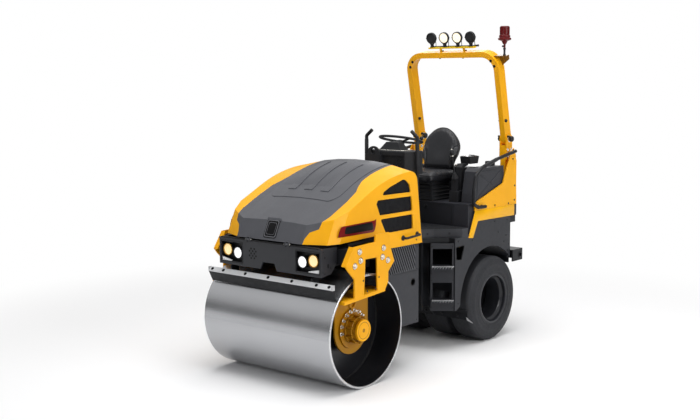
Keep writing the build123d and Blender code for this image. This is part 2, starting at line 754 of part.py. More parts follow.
def make_water_tank():
    outline = [(-1590, seat_box_top), (-1600, 1300), (-1640, 1490), (-1680, tank_top), (-2058, tank_top),
               (-2100, seat_box_top)]
    outer = body_half_width - seat_box_inset
    inner = outer - tank_pod
    tank = both_sides(side_plate(outline, inner, outer))
    tank += block((-2100, -2010), (-inner - 5, inner + 5), (seat_box_top, 1490))
    cap = upright(-1986, inner + 35, tank_top, tank_top + 38, 40)
    return tank + cap


def make_rear_brackets():
    inner_y = body_half_width - panel_plate
    outline = [(-2207, 1666), (-2243, 1602), (rear_post_x, 1163), (-1583, 1163), (-1583, 1215), (-1629, 1245),
               (-2029, 1367), (-2061, 1436), (-2109, 1521), (-2173, 1633)]
    plate = side_plate(outline, inner_y, body_half_width)
    post_outer = rops_width / 2 + cheek_gap + cheek_plate
    plate += block((rear_post_x, rear_post_x + panel_plate), (post_outer, inner_y + panel_plate / 2),
                   (1163, 1560))
    return both_sides(plate)


def make_handrails():
    y = body_half_width + handrail_radius + 4
    points = [(-2205, y, 1640), (-1908, y, 1590), (-1654, y, 1526), (-1562, y, 1464), (-1534, y, 1347),
              (-1536, y, 1225), (-1610, y, 1192), (-1720, y, 1190)]
    rail = bent_tube(points, handrail_radius, 30)
    for x, z in ((-2195, 1637), (-1680, 1190)):
        rail += crossbar(x, z, body_half_width, y, 10)
    return Compound(children=[rail, other_side(rail)])


# ---- operator's place ----
def make_seat_base():
    lower = Plane.XY.offset(seat_box_top) * Rectangle(300, 330)
    upper = Plane.XY.offset(seat_height - seat_cushion) * Rectangle(260, 290)
    return Pos(-1660, 0, 0) * loft([lower, upper])


def make_seat_cushion():
    half = seat_width / 2
    cushion = block((-1860, -1440), (-half, half), (seat_height - seat_cushion, seat_height))
    return fillet(cushion.edges().filter_by(Axis.Z) + cushion.faces().sort_by(Axis.Z)[-1].edges(), 28)


def make_seat_back():
    lean = radians(seat_back_lean)
    foot_half, hip_half, crown_half = 150.0, seat_width / 2 - 12, 120.0
    hip_height, shoulder_height = 200.0, seat_back_height - 70
    outline = Polygon((-foot_half, 0), (foot_half, 0), (hip_half, hip_height), (hip_half, shoulder_height),
                      (crown_half, seat_back_height), (-crown_half, seat_back_height),
                      (-hip_half, shoulder_height), (-hip_half, hip_height), align=None)
    outline = fillet(outline.vertices().group_by(Axis.Y)[-1] + outline.vertices().group_by(Axis.Y)[-2], 55)
    front = Plane(origin=(-1800, 0, seat_height - 10), x_dir=(0, 1, 0), z_dir=(cos(lean), 0, sin(lean)))
    back = extrude(front.offset(-seat_back_thickness) * outline, seat_back_thickness)
    bolster = Polygon((0, -8), (seat_bolster, 5), (seat_bolster - 8, 120), (seat_bolster / 2, 205), (0, 235),
                      align=None)
    for side in (-1, 1):
        cheek = Plane(origin=front.from_local_coords((side * hip_half, 0, -5)), x_dir=front.z_dir, z_dir=(0, -1, 0))
        back += extrude(cheek * bolster, side * 50)
    return back - block((-1960, -1640), (-hip_half - 1, hip_half + 1), (seat_height - 60, seat_height + SEAT))


def make_control_console():
    """Console beside the seat: foot, lever box, column and the arm box behind it."""
    low_y, high_y = console_y
    console = side_plate([(-1570, seat_box_top), (-1576, console_top), (-1714, console_top), (-1722, seat_box_top)],
                         low_y, high_y)
    console += side_plate([(-1581, console_top - 2), (-1585, console_top + 110), (-1615, console_top + 110),
                           (-1624, console_top - 2)], low_y + 15, high_y - 20)
    console += side_plate([(-1650, console_top - 2), (-1660, 1520), (-1680, 1550), (-1760, 1550), (-1760, 1534),
                           (-1704, 1520), (-1704, console_top - 2)], low_y + 10, high_y - 15)
    arm_box = side_plate([(-1735, 1608), (-1752, 1545), (-1868, 1545), (-1888, 1608)], low_y, high_y + 15)
    return console + arm_box


def make_travel_lever():
    """Travel lever, leaning forward out of the lever box."""
    lever_y = (console_y[0] + console_y[1]) / 2
    length = 235.0
    place = Pos(-1600, lever_y, console_top + 110) * Rot(0, 13, 0)
    stem = place * Pos(0, 0, length / 2) * Cylinder(7, length)
    stem -= block((-1700, -1500), (lever_y - 50, lever_y + 50), (console_top, console_top + 110))
    knob = place * Pos(0, 0, length) * Sphere(20)
    return stem + knob


def steering_place():
    """Middle of the steering wheel, turned so that its axis leans back."""
    return Pos(steering_x, 0, steering_z) * Rot(0, -steering_lean, 0)


def make_dash_bracket():
    """Upright plate with a round hole, on the front of the dash."""
    plate = 14.0
    middle_y = -140.0
    outline = Pos(middle_y, dash_top - 82) * Rectangle(150, 100)
    outline += Pos(middle_y, dash_top - 32) * Circle(65)
    outline -= Pos(middle_y, dash_top - 8) * Circle(24)
    front = Plane(origin=(dash_front_x - 1, 0, 0), x_dir=(0, 1, 0), z_dir=(1, 0, 0))
    return extrude(front * outline, plate + 1)


def make_dash_console():
    pedestal = [(-1130, floor_top), (-1120, dash_bottom), (-1240, dash_bottom), (-1250, floor_top)]
    dash = side_plate(pedestal, -150, 150)
    half = dash_half_width
    corner = 55.0
    rear_x = -1265.0
    plan = [(rear_x, -half), (dash_front_x - corner, -half), (dash_front_x, corner - half),
            (dash_front_x, half - corner), (dash_front_x - corner, half), (rear_x, half)]
    box = plan_plate(plan, dash_bottom - 10, dash_top)
    box = fillet(box.faces().sort_by(Axis.Z)[-1].edges(), 12)
    panel_depth = 14.0
    box -= block((dash_front_x - panel_depth, dash_front_x + 1), (-55, half - corner - 12),
                 (dash_bottom + 20, dash_top - 40))
    base = Plane.XY.offset(dash_top - 12) * Pos(-1175, 0) * Rectangle(120, 250)
    brow = Plane.XY.offset(dash_top + 68) * Pos(-1185, 0) * Rectangle(70, 120)
    dash += box + loft([base, brow]) + make_dash_bracket()
    place = steering_place()
    below = -steering_dish
    column = place * Pos(0, 0, below - 88) * Cylinder(24, 140)
    stub = place * Pos(0, 0, below - 10) * Cylinder(steering_shaft_radius, 24)
    return dash + column + stub


def make_steering_wheel():
    """Dished wheel: the hub lies below the rim, with three sloping spokes."""
    place = steering_place()
    rim = 11.0
    hub_radius = 34.0
    ring = place * Torus(steering_radius, rim)
    below = -steering_dish
    hub = place * Pos(0, 0, below - 4) * Cylinder(hub_radius, 24)
    wheel = ring + hub
    for angle in (60, 180, 300):
        spoke = side_plate([(hub_radius - 8, below - 6), (hub_radius - 8, below + 3), (steering_radius, 4.5),
                            (steering_radius, -4.5)], -11, 11)
        wheel += place * Rot(0, 0, angle) * spoke
    return wheel - place * Pos(0, 0, below - 10) * Cylinder(steering_shaft_radius + RUNNING, 26)


def make_grab_handles():
    points = [(-1145, 270, floor_top), (-1145, 270, 1800), (-1145, 210, 1850)]
    handle = bent_tube(points, handrail_radius, 25)
    foot = upright(-1145, 270, floor_top, floor_top + 8, 26)
    handle += foot
    return Compound(children=[handle, other_side(handle)])


def make_wheel_scrapers():
    return block((wheel_scraper_x - wheel_scraper, wheel_scraper_x), (-585, 585), (240, 300))


def make_rear_beam():
    half = beam_half_width
    beam = block((beam_rear_x, rear_wall_x), (-half, half), (beam_top - beam_plate, beam_top))
    beam += block((beam_rear_x, beam_rear_x + beam_plate), (-half, half), (beam_bottom, beam_top))
    beam += both_sides(block((beam_rear_x, rear_wall_x), (half - beam_plate, half), (beam_bottom, beam_top)))
    hole_x = beam_rear_x + 45
    beam -= crossbar(hole_x, hitch_z, -half - 1, half + 1, tie_down_radius)
    notch_half = 75.0
    beam -= block((beam_rear_x - 1, hitch_x + 50), (-notch_half, notch_half), (beam_bottom - 1, beam_top + 1))
    return beam


# ---- roll-over frame ----
def lean_plane(y=0.0):
    """Plane of the leaning hoop: x along Y, y up along the lean, z forward."""
    lean = radians(rops_lean)
    return Plane(origin=(rops_hinge_x, y, rops_hinge_z), x_dir=(0, 1, 0), z_dir=(cos(lean), 0, -sin(lean)))


def hoop_outline(extra=0.0):
    """Outer outline of the hoop in its leaning plane, grown by a clearance."""
    half = rops_width / 2 + extra
    top = rops_height + extra
    outline = Polygon((-half, 0), (half, 0), (half, top), (-half, top), align=None)
    return fillet(outline.vertices().group_by(Axis.Y)[-1], rops_bend + extra)


def make_rops_hoop():
    half = rops_width / 2
    inner_half = half - rops_tube
    inner = Polygon((-inner_half, -1), (inner_half, -1), (inner_half, rops_height - rops_tube),
                    (-inner_half, rops_height - rops_tube), align=None)
    inner = fillet(inner.vertices().group_by(Axis.Y)[-1], rops_bend - rops_tube)
    frame = lean_plane()
    hoop = extrude(frame.offset(-rops_tube_depth / 2) * (hoop_outline() - inner), rops_tube_depth)
    for side in (-1, 1):
        low, high = sorted((side * inner_half, side * half))
        foot = crossbar(rops_hinge_x, rops_hinge_z, low, high, rops_tube_depth / 2)
        hoop += foot
        hoop -= crossbar(rops_hinge_x, rops_hinge_z, low - 1, high + 1, rops_pin_radius + RUNNING)
    return hoop


def make_rops_posts():
    half = rops_width / 2
    inner = half - rops_tube
    top = rops_hinge_z - rops_tube_depth / 2 - SWING_GAP
    front = rops_hinge_x + rops_tube_depth / 2
    rear = rops_hinge_x - rops_tube_depth / 2
    post = block((rear, front), (inner, half), (1163, top))
    cheek = [(rear, 1560), (rear, rops_hinge_z + 20), (rear + 30, rops_hinge_z + 45), (front - 20, rops_hinge_z + 45),
             (front, rops_hinge_z + 20), (front, 1560)]
    for low in (inner - cheek_gap - cheek_plate, half + cheek_gap):
        post += side_plate(cheek, low, low + cheek_plate)
    for low, high in ((inner - cheek_gap, inner), (half, half + cheek_gap)):
        post += block((rear, front), (low, high), (1560, top - 20))
    post += crossbar(rops_hinge_x, rops_hinge_z, inner - 26, half + 26, rops_pin_radius)
    return Compound(children=[post, other_side(post)])


WORK_LAMP_PLACES = (-210, -71, 71, 210)


def make_light_bar():
    frame = lean_plane()
    low = rops_height + light_bar_gap
    bar = extrude(frame.offset(-20) * Pos(0, low + light_bar_height / 2) * Rectangle(495, light_bar_height), 40)
    for y in (-125, 125):
        standoff = Pos(y, rops_height + light_bar_gap / 2) * Rectangle(16, light_bar_gap)
        bar += extrude(frame.offset(-8) * standoff, 16)
    return bar


def make_work_lamps():
    frame = lean_plane()
    foot_low = rops_height + light_bar_gap + light_bar_height
    centre = foot_low + 83
    radius = work_lamp_radius
    profile = [(0, -30), (18, -30), (radius - 8, -14), (radius, -4), (radius, 16), (radius - 3, 20),
               (radius - 6, 14), (0, 14)]
    lamps = []
    for y in WORK_LAMP_PLACES:
        lamp = facing(frame.location * Pos(y, centre, 0), profile)
        lamp += extrude(frame.offset(-6) * Pos(y, foot_low + 3) * Rectangle(44, 6), 24)
        lamp += extrude(frame.offset(2) * Pos(y, foot_low + 24) * Rectangle(26, 44), 8)
        lamps.append(lamp)
    return Compound(children=lamps)


def make_beacon():
    """Beacon on a stem, carried by an angle bracket on the hoop's left shoulder."""
    half = rops_width / 2
    frame = lean_plane()
    shelf_height = rops_height - 43
    shelf = Pos(half + 10, shelf_height - 3) * Rectangle(120, 6)
    web = Polygon((half - 50, shelf_height - 1), (half + 70, shelf_height - 1), (half + 70, shelf_height - 40),
                  (half - 4, shelf_height - 92), (half - 30, shelf_height - 92), align=None)
    bracket = extrude(frame.offset(-25) * shelf, 50) + extrude(frame.offset(-25) * web, 6)
    bracket -= extrude(frame.offset(-rops_tube_depth) * hoop_outline(SEAT), 2 * rops_tube_depth)
    lean = radians(rops_lean)
    place = Pos(rops_hinge_x + shelf_height * sin(lean), half + 42, rops_hinge_z + shelf_height * cos(lean))
    stem, flange, dome = 9.0, beacon_flange_radius, beacon_radius
    profile = [
        (0, -8), (stem, -8), (stem, 95), (15, 98), (26, 122), (flange - 4, 132), (flange, 138), (flange - 2, 148),
        (dome + 5, 154), (dome + 5, 172), (dome, 178), (dome, 245), (dome - 6, 252), (0, 252),
    ]
    return bracket + facing(place, profile)


# ---- steering cylinder ----
def cylinder_axis():
    start = Vector(barrel_eye[0], barrel_eye[1], cylinder_z)
    end = Vector(rod_eye[0], rod_eye[1], cylinder_z)
    return start, (end - start).normalized(), (end - start).length


def along(distance_low, distance_high, radius):
    """Round bar on the cylinder's line between two distances from the barrel's eye."""
    start, way, length = cylinder_axis()
    plane = Plane(origin=start + way * distance_low, z_dir=way)
    return extrude(plane * Circle(radius), distance_high - distance_low)


def make_barrel():
    x, y = barrel_eye
    half = cylinder_eye_height / 2
    eye = upright(x, y, cylinder_z - half, cylinder_z + half, cylinder_eye_radius)
    barrel = along(10, 40, 13) + along(30, 192, cylinder_radius) + eye
    barrel -= along(40, 178, cylinder_radius - 7)
    barrel -= along(170, 193, cylinder_rod_radius + RUNNING)
    return barrel - upright(x, y, 600, 800, cylinder_pin_radius + RUNNING)


def make_rod():
    start, way, length = cylinder_axis()
    x, y = rod_eye
    half = cylinder_eye_height / 2
    rod = along(109, length - 5, cylinder_rod_radius)
    rod += along(103, 115, cylinder_radius - 7 - RUNNING)
    rod += upright(x, y, cylinder_z - half, cylinder_z + half, cylinder_eye_radius)
    return rod - upright(x, y, 600, 800, cylinder_pin_radius)


# ---- all pieces ----
def make_parts():
    hood_sides, hood_cover = make_hood()
    yoke = make_yoke()
    motor = make_drum_motor()
    panel = make_side_panel()
    fender = make_fender()
    step = make_step()
    rims = make_rims()
    tyres = make_tyres()
    return {
        "drum": make_drum(),
        "drum_motors": Compound(children=[motor, other_side(motor)]),
        "yoke_left": yoke,
        "yoke_right": other_side(yoke),
        "front_frame": make_front_frame(),
        "side_panel_left": panel,
        "side_panel_right": other_side(panel),
        "bumper": make_bumper(),
        "head_lamps": make_head_lamps(),
        "drum_scrapers": make_drum_scrapers(),
        "engine": make_engine(),
        "hood_sides": hood_sides,
        "hood_cover": hood_cover + make_hood_hinge(),
        "hood_grilles": make_hood_grilles(),
        "rear_frame": make_rear_frame(),
        "rear_axle": make_axle(),
        "rims_left": rims,
        "rims_right": other_side(rims),
        "tyres_left": tyres,
        "tyres_right": other_side(tyres),
        "fender_left": fender,
        "fender_right": other_side(fender),
        "step_left": step,
        "step_right": other_side(step),
        "floor_plate": make_floor(),
        "seat_box": make_seat_box(),
        "water_tank": make_water_tank(),
        "rear_brackets": make_rear_brackets(),
        "handrails": make_handrails(),
        "seat_base": make_seat_base(),
        "seat_cushion": make_seat_cushion(),
        "seat_back": make_seat_back(),
        "control_console": make_control_console(),
        "travel_lever": make_travel_lever(),
        "dash_console": make_dash_console(),
        "steering_wheel": make_steering_wheel(),
        "grab_handles": make_grab_handles(),
        "wheel_scrapers": make_wheel_scrapers(),
        "rear_beam": make_rear_beam(),
        "rops_posts": make_rops_posts(),
        "rops_hoop": make_rops_hoop(),
        "light_bar": make_light_bar(),
        "work_lamps": make_work_lamps(),
        "beacon": make_beacon(),
        "steering_barrel": make_barrel(),
        "steering_rod": make_rod(),
    }


os.makedirs("parts", exist_ok=True)
pieces = make_parts()
boxes = [piece.bounding_box() for piece in pieces.values()]
front_end = max(box.max.X for box in boxes)
rear_end = min(box.min.X for box in boxes)
to_middle = Pos(-(front_end + rear_end) / 2, 0, 0)
for name, piece in pieces.items():
    export_step(to_middle * piece, f"parts/{name}.step")
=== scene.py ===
import json
from math import cos, exp, hypot, pi, radians, sin

import bmesh
import bpy
from mathutils import Matrix, Vector


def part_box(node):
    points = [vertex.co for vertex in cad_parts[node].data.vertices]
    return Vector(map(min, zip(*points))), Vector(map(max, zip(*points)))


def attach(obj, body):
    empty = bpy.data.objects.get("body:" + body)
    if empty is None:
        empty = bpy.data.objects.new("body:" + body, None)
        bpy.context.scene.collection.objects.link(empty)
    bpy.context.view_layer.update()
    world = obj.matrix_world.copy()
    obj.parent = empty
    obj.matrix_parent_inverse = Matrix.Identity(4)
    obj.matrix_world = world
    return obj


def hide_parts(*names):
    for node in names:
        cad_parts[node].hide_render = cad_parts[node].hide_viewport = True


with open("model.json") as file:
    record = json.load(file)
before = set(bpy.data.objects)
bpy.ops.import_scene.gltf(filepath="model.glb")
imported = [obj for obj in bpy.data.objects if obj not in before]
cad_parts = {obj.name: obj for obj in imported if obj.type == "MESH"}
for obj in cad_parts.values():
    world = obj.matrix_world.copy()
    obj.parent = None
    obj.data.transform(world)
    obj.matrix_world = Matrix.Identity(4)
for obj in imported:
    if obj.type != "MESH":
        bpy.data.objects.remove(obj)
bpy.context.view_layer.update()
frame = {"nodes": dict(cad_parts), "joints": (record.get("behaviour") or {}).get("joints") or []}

# Looks of a combination road roller. Shapes are drawn in millimetres from the point on the
# ground under the drum's axis: X forward, Y to the machine's left, Z up.

joints = {joint["name"]: joint for joint in frame["joints"]}
nodes = frame["nodes"]
DRUM_X = joints["drum_spin"]["pos_m"][0]
DRUM_Z = joints["drum_spin"]["pos_m"][2] * 1000
AXLE_X = (joints["wheels_left_spin"]["pos_m"][0] - DRUM_X) * 1000
AXLE_Z = joints["wheels_left_spin"]["pos_m"][2] * 1000
PIVOT_X = (joints["articulation"]["pos_m"][0] - DRUM_X) * 1000
HINGE_X = (joints["rops_fold"]["pos_m"][0] - DRUM_X) * 1000
HINGE_Z = joints["rops_fold"]["pos_m"][2] * 1000
HALF_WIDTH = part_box("yoke_left")[1].y * 1000
BODY_Y = 560.0
ROPS_LEAN = radians(11.8)
ROPS_Y = 497.0
SEAT_LEAN = radians(13.0)
BEVEL_ANGLE = radians(32)
CLOTH_FRAMES = 20
LEFT = (0, 1, 0)
RIGHT = (0, -1, 0)
FORWARD = (1, 0, 0)
REARWARD = (-1, 0, 0)
UP = (0, 0, 1)


# ---------------------------------------------------------------- meshes
class Shape:
    """Points and faces in millimetres, gathered from plain forms."""

    def __init__(self):
        self.points = []
        self.faces = []

    def add(self, points, faces):
        start = len(self.points)
        self.points.extend(Vector(point) for point in points)
        self.faces.extend(tuple(start + index for index in face) for face in faces)
        return self

    def join(self, other, matrix=None):
        points = [matrix @ point for point in other.points] if matrix else other.points
        return self.add(points, other.faces)

    def mirrored(self):
        """This shape and the same on the machine's other side."""
        whole = Shape().join(self)
        flipped = [(point.x, -point.y, point.z) for point in self.points]
        return whole.add(flipped, [tuple(reversed(face)) for face in self.faces])

    def piece(self, name, body, material, slot, bevel=0.0, sharp=35, steps=2):
        """Blender object of this shape that rides on a body."""
        mesh = bpy.data.meshes.new(name)
        mesh.from_pydata([to_scene(point) for point in self.points], [], self.faces)
        form = bmesh.new()
        form.from_mesh(mesh)
        write_mesh(form, mesh)
        thing = new_object(name, mesh)
        mesh.materials.append(material)
        if bevel:
            soften(thing, bevel, steps)
        thing.data.shade_smooth()
        thing.data.set_sharp_from_angle(angle=radians(sharp))
        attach(thing, body)


def new_object(name, mesh):
    thing = bpy.data.objects.new(name, mesh)
    bpy.context.scene.collection.objects.link(thing)
    return thing


def to_scene(point):
    """Metres from the frame's origin of a place in millimetres."""
    return Vector((DRUM_X + point[0] / 1000, point[1] / 1000, point[2] / 1000))


def to_machine(place):
    """Millimetres from the ground under the drum's axis of a place in metres."""
    return Vector(((place[0] - DRUM_X) * 1000, place[1] * 1000, place[2] * 1000))


def write_mesh(form, mesh):
    bmesh.ops.recalc_face_normals(form, faces=form.faces[:])
    form.to_mesh(mesh)
    form.free()


def soften(thing, width, steps):
    """Rounds the edges sharper than BEVEL_ANGLE by a width in millimetres."""
    edge = thing.modifiers.new("edges", "BEVEL")
    edge.width = width / 1000
    edge.segments = steps
    edge.limit_method = "ANGLE"
    edge.angle_limit = BEVEL_ANGLE
    apply_modifiers(thing)


def apply_modifiers(thing):
    """Puts what the modifiers show in place of the object's mesh."""
    shown = bpy.context.evaluated_depsgraph_get()
    mesh = bpy.data.meshes.new_from_object(thing.evaluated_get(shown))
    thing.modifiers.clear()
    old = thing.data
    thing.data = mesh
    bpy.data.meshes.remove(old)


def shapes(count):
    """Empty shapes to gather forms in."""
    return [Shape() for _ in range(count)]


def block(x, y, z):
    """Box between pairs of X, Y and Z places."""
    points = [(a, b, c) for a in x for b in y for c in z]
    faces = [(0, 1, 3, 2), (4, 6, 7, 5), (0, 4, 5, 1), (2, 3, 7, 6), (0, 2, 6, 4), (1, 5, 7, 3)]
    return Shape().add(points, faces)


def frame_of(origin, way, up=UP):
    """Matrix whose local z points along way, with local y as near to up as it can be."""
    z = Vector(way).normalized()
    up = Vector(up)
    if abs(z.dot(up.normalized())) > 0.99:
        up = Vector(FORWARD)
    x = up.cross(z).normalized()
    y = z.cross(x)
    return Matrix.Translation(Vector(origin)) @ Matrix((x, y, z)).transposed().to_4x4()


def prism(outline, low, high, matrix):
    """Outline of (x, y) points extruded along the matrix's z."""
    count = len(outline)
    points = [(x, y, low) for x, y in outline] + [(x, y, high) for x, y in outline]
    faces = [tuple(reversed(range(count))), tuple(range(count, 2 * count))]
    faces += [(i, (i + 1) % count, (i + 1) % count + count, i + count) for i in range(count)]
    return Shape().join(Shape().add(points, faces), matrix)


# Matrix for outlines of (x, z) points that grow to the machine's left.
SIDE_VIEW = Matrix(((1, 0, 0, 0), (0, 0, 1, 0), (0, 1, 0, 0), (0, 0, 0, 1)))
TOP_VIEW = Matrix.Identity(4)
FLIPPED = Matrix.Scale(-1, 4, FORWARD)


def front_view(x=0.0):
    """Matrix for outlines of (y, z) points that grow forward from an X place."""
    return frame_of((x, 0, 0), FORWARD)


def hoop_view(forward=0.0):
    """Matrix of the leaning hoop's plane: x to the left, y up along the lean, z forward."""
    lean = Matrix.Rotation(ROPS_LEAN, 4, "Y")
    turn = Matrix(((0, 0, 1, 0), (1, 0, 0, 0), (0, 1, 0, 0), (0, 0, 0, 1)))
    return Matrix.Translation((HINGE_X, 0, HINGE_Z)) @ lean @ turn @ Matrix.Translation((0, 0, forward))


def corner_curve(before, here, after, bend, most, steps):
    """Points of a curve that replaces the corner at here."""
    to_before = before - here
    to_after = after - here
    reach = min(bend, to_before.length * most, to_after.length * most)
    start = here + to_before.normalized() * reach
    end = here + to_after.normalized() * reach
    parts = [step / steps for step in range(steps + 1)]
    return [start * (1 - t) ** 2 + here * 2 * t * (1 - t) + end * t ** 2 for t in parts]


def rounded_corners(outline, bend):
    """Closed outline with its corners turned into curves."""
    points = [Vector(point) for point in outline]
    result = []
    for before, here, after in zip(points[-1:] + points, points, points[1:] + points[:1]):
        result += [tuple(spot) for spot in corner_curve(before, here, after, bend, 0.48, 5)]
    return result


def rectangle(x, y, bend=0.0):
    """Outline between pairs of places, its corners rounded by bend."""
    corners = [(x[0], y[0]), (x[1], y[0]), (x[1], y[1]), (x[0], y[1])]
    return rounded_corners(corners, bend) if bend else corners


def band(outline, width, low, high, matrix):
    """Closed strip of a width along the inside of a convex outline."""
    middle = sum((Vector(point) for point in outline), Vector((0, 0))) / len(outline)
    inner = []
    for point in outline:
        out = Vector(point) - middle
        inner.append(tuple(middle + out * max(0.0, 1 - width / out.length)))
    count = len(outline)
    points = [(x, y, z) for z in (low, high) for ring in (outline, inner) for x, y in ring]
    faces = []
    for i in range(count):
        j = (i + 1) % count
        a, b, c, d = i, i + count, i + 2 * count, i + 3 * count
        e, f, g, h = j, j + count, j + 2 * count, j + 3 * count
        faces += [(a, b, f, e), (c, g, h, d), (a, e, g, c), (b, d, h, f)]
    return Shape().join(Shape().add(points, faces), matrix)


def lathe(profile, origin, way, sides=32, turn=0.0, closed=True):
    """(radius, distance) points turned about a line through origin."""
    matrix = frame_of(origin, way)
    points = []
    rings = []
    for radius, distance in profile:
        if radius < 1e-6:
            rings.append([len(points)])
            points.append((0, 0, distance))
            continue
        rings.append(list(range(len(points), len(points) + sides)))
        for step in range(sides):
            angle = turn + 2 * pi * step / sides
            points.append((radius * cos(angle), radius * sin(angle), distance))
    faces = []
    for low, high in zip(rings, rings[1:]):
        for step in range(sides):
            after = (step + 1) % sides
            if len(low) == 1:
                faces.append((low[0], high[after], high[step]))
            elif len(high) == 1:
                faces.append((low[step], low[after], high[0]))
            else:
                faces.append((low[step], low[after], high[after], high[step]))
    if closed and len(rings[0]) > 1:
        faces.append(tuple(reversed(rings[0])))
    if closed and len(rings[-1]) > 1:
        faces.append(tuple(rings[-1]))
    return Shape().join(Shape().add(points, faces), matrix)


def rounded(points, bend):
    """Points of an open line whose corners are turned into curves."""
    points = [Vector(point) for point in points]
    line = [points[0]]
    for before, here, after in zip(points, points[1:], points[2:]):
        line += corner_curve(before, here, after, bend, 0.49, 6)
    line.append(points[-1])
    return line


def tube(points, radius, sides=12, bend=20.0):
    """Closed round tube along points, its corners bent."""
    line = rounded(points, bend) if bend else [Vector(point) for point in points]
    shape_points = []
    faces = []
    up = Vector(UP)
    heading = (line[1] - line[0]).normalized()
    if abs(heading.dot(up)) > 0.95:
        up = Vector(FORWARD)
    side = heading.cross(up).normalized()
    for index, here in enumerate(line):
        before = line[max(index - 1, 0)]
        after = line[min(index + 1, len(line) - 1)]
        heading = (after - before).normalized()
        side = (side - heading * side.dot(heading)).normalized()
        other = heading.cross(side)
        for step in range(sides):
            angle = 2 * pi * step / sides
            shape_points.append(here + side * radius * cos(angle) + other * radius * sin(angle))
    for ring in range(len(line) - 1):
        for step in range(sides):
            after = (step + 1) % sides
            low = ring * sides
            faces.append((low + step, low + sides + step, low + sides + after, low + after))
    last = (len(line) - 1) * sides
    faces += [tuple(range(sides)), tuple(reversed(range(last, last + sides)))]
    return Shape().add(shape_points, faces)


def bolt(place, way, radius=9.0, washer=1.55, height=None, turn=0.3):
    """Hexagon bolt head on a round washer."""
    ring = radius * washer
    rise = radius * 0.26
    shape = lathe([(ring, 0), (ring, radius * 0.2), (ring * 0.94, rise), (0, rise)], place, way, 20)
    height = height or radius * 0.75
    top = rise + height
    head = [(radius, rise - 0.5), (radius, rise + height * 0.8), (radius * 0.82, top), (0, top)]
    return shape.join(lathe(head, place, way, 6, turn))


def screw(place, way, radius):
    """Low round screw head."""
    profile = [(radius, 0), (radius * 0.95, radius * 0.25), (radius * 0.6, radius * 0.5), (0, radius * 0.55)]
    return lathe(profile, place, way, 14)


def bolts(places, way, radius=9.0):
    """Bolt heads turned each to another angle, as they stand after tightening."""
    shape = Shape()
    for number, place in enumerate(places):
        shape.join(bolt(place, way, radius, turn=0.3 + 0.7 * number))
    return shape


def screws(places, way, radius=7.0):
    shape = Shape()
    for place in places:
        shape.join(screw(place, way, radius))
    return shape


def side_screws(places, radius, y=BODY_Y):
    """Screws at (x, z) places on the machine's two sides."""
    return screws([(x, y, z) for x, z in places], LEFT, radius).mirrored()


def circle(count, radius, start=0.0):
    """Points evenly round the middle of a plane."""
    angles = [start + 2 * pi * number / count for number in range(count)]
    return [(radius * cos(angle), radius * sin(angle)) for angle in angles]


def around(count, x, y):
    """Matrices evenly turned round an upright line."""
    for number in range(count):
        yield Matrix.Translation((x, y, 0)) @ Matrix.Rotation(2 * pi * number / count, 4, "Z")


def surface(thing, origin, way):
    """Where a line meets an object, and the way its surface faces there."""
    hit, place, normal, _ = thing.ray_cast(to_scene(origin), Vector(way))
    return (to_machine(place), normal) if hit else (None, None)


# ---------------------------------------------------------------- soft forms
def padded_form(name, half, corner, cuts, bend):
    """Rounded box of even quads; bend moves each point from its own x, y, z to the machine's."""
    form = bmesh.new()
    bmesh.ops.create_cube(form, size=2)
    bmesh.ops.subdivide_edges(form, edges=form.edges[:], cuts=cuts, use_grid_fill=True)
    for vertex in form.verts:
        place = Vector([vertex.co[axis] * half[axis] for axis in range(3)])
        core = Vector([max(corner - half[axis], min(half[axis] - corner, place[axis])) for axis in range(3)])
        out = place - core
        if out.length > 1e-6:
            place = core + out.normalized() * corner
        place = bend(place)
        vertex.co = to_scene(place)
    mesh = bpy.data.meshes.new(name)
    write_mesh(form, mesh)
    return new_object(name, mesh)


def stuff(thing, voxel, cap):
    """Remeshes a closed form and blows it up as cloth, each point moving cap millimetres at most."""
    even = thing.modifiers.new("even", "REMESH")
    even.mode = "VOXEL"
    even.voxel_size = voxel / 1000
    apply_modifiers(thing)
    rest = [vertex.co.copy() for vertex in thing.data.vertices]
    cloth = thing.modifiers.new("stuffing", "CLOTH")
    cloth.settings.use_pressure = True
    cloth.settings.uniform_pressure_force = 4.0
    cloth.settings.effector_weights.gravity = 0.0
    cloth.settings.quality = 5
    cloth.point_cache.frame_start = 1
    cloth.point_cache.frame_end = CLOTH_FRAMES
    for number in range(1, CLOTH_FRAMES + 1):
        bpy.context.scene.frame_set(number)
    apply_modifiers(thing)
    bpy.context.scene.frame_set(1)
    for vertex, start in zip(thing.data.vertices, rest):
        move = vertex.co - start
        if move.length > cap / 1000:
            vertex.co = start + move.normalized() * cap / 1000


def press(thing, depth_at):
    """Moves each point along its normal by depth_at(place) millimetres."""
    normals = [vertex.normal.copy() for vertex in thing.data.vertices]
    for vertex, normal in zip(thing.data.vertices, normals):
        vertex.co += normal * depth_at(to_machine(vertex.co)) / 1000


def settle(thing, body, material, node):
    """Finishes a stuffed form, which then stands for its CAD node."""
    thing.data.materials.clear()
    thing.data.materials.append(material)
    smooth = thing.modifiers.new("smooth", "SUBSURF")
    smooth.levels = 1
    apply_modifiers(thing)
    thing.data.shade_smooth()
    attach(thing, body)
    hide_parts(node)


def to_line(spot, line, closed=False):
    """Distance in a plane from a spot to a line of points."""
    nearest = 1e9
    ends = zip(line, line[1:] + (line[:1] if closed else ()))
    for start, end in ends:
        run_x, run_y = end[0] - start[0], end[1] - start[1]
        length = run_x ** 2 + run_y ** 2
        share = ((spot[0] - start[0]) * run_x + (spot[1] - start[1]) * run_y) / length if length else 0.0
        share = max(0.0, min(1.0, share))
        gap = hypot(spot[0] - start[0] - share * run_x, spot[1] - start[1] - share * run_y)
        nearest = min(nearest, gap)
    return nearest


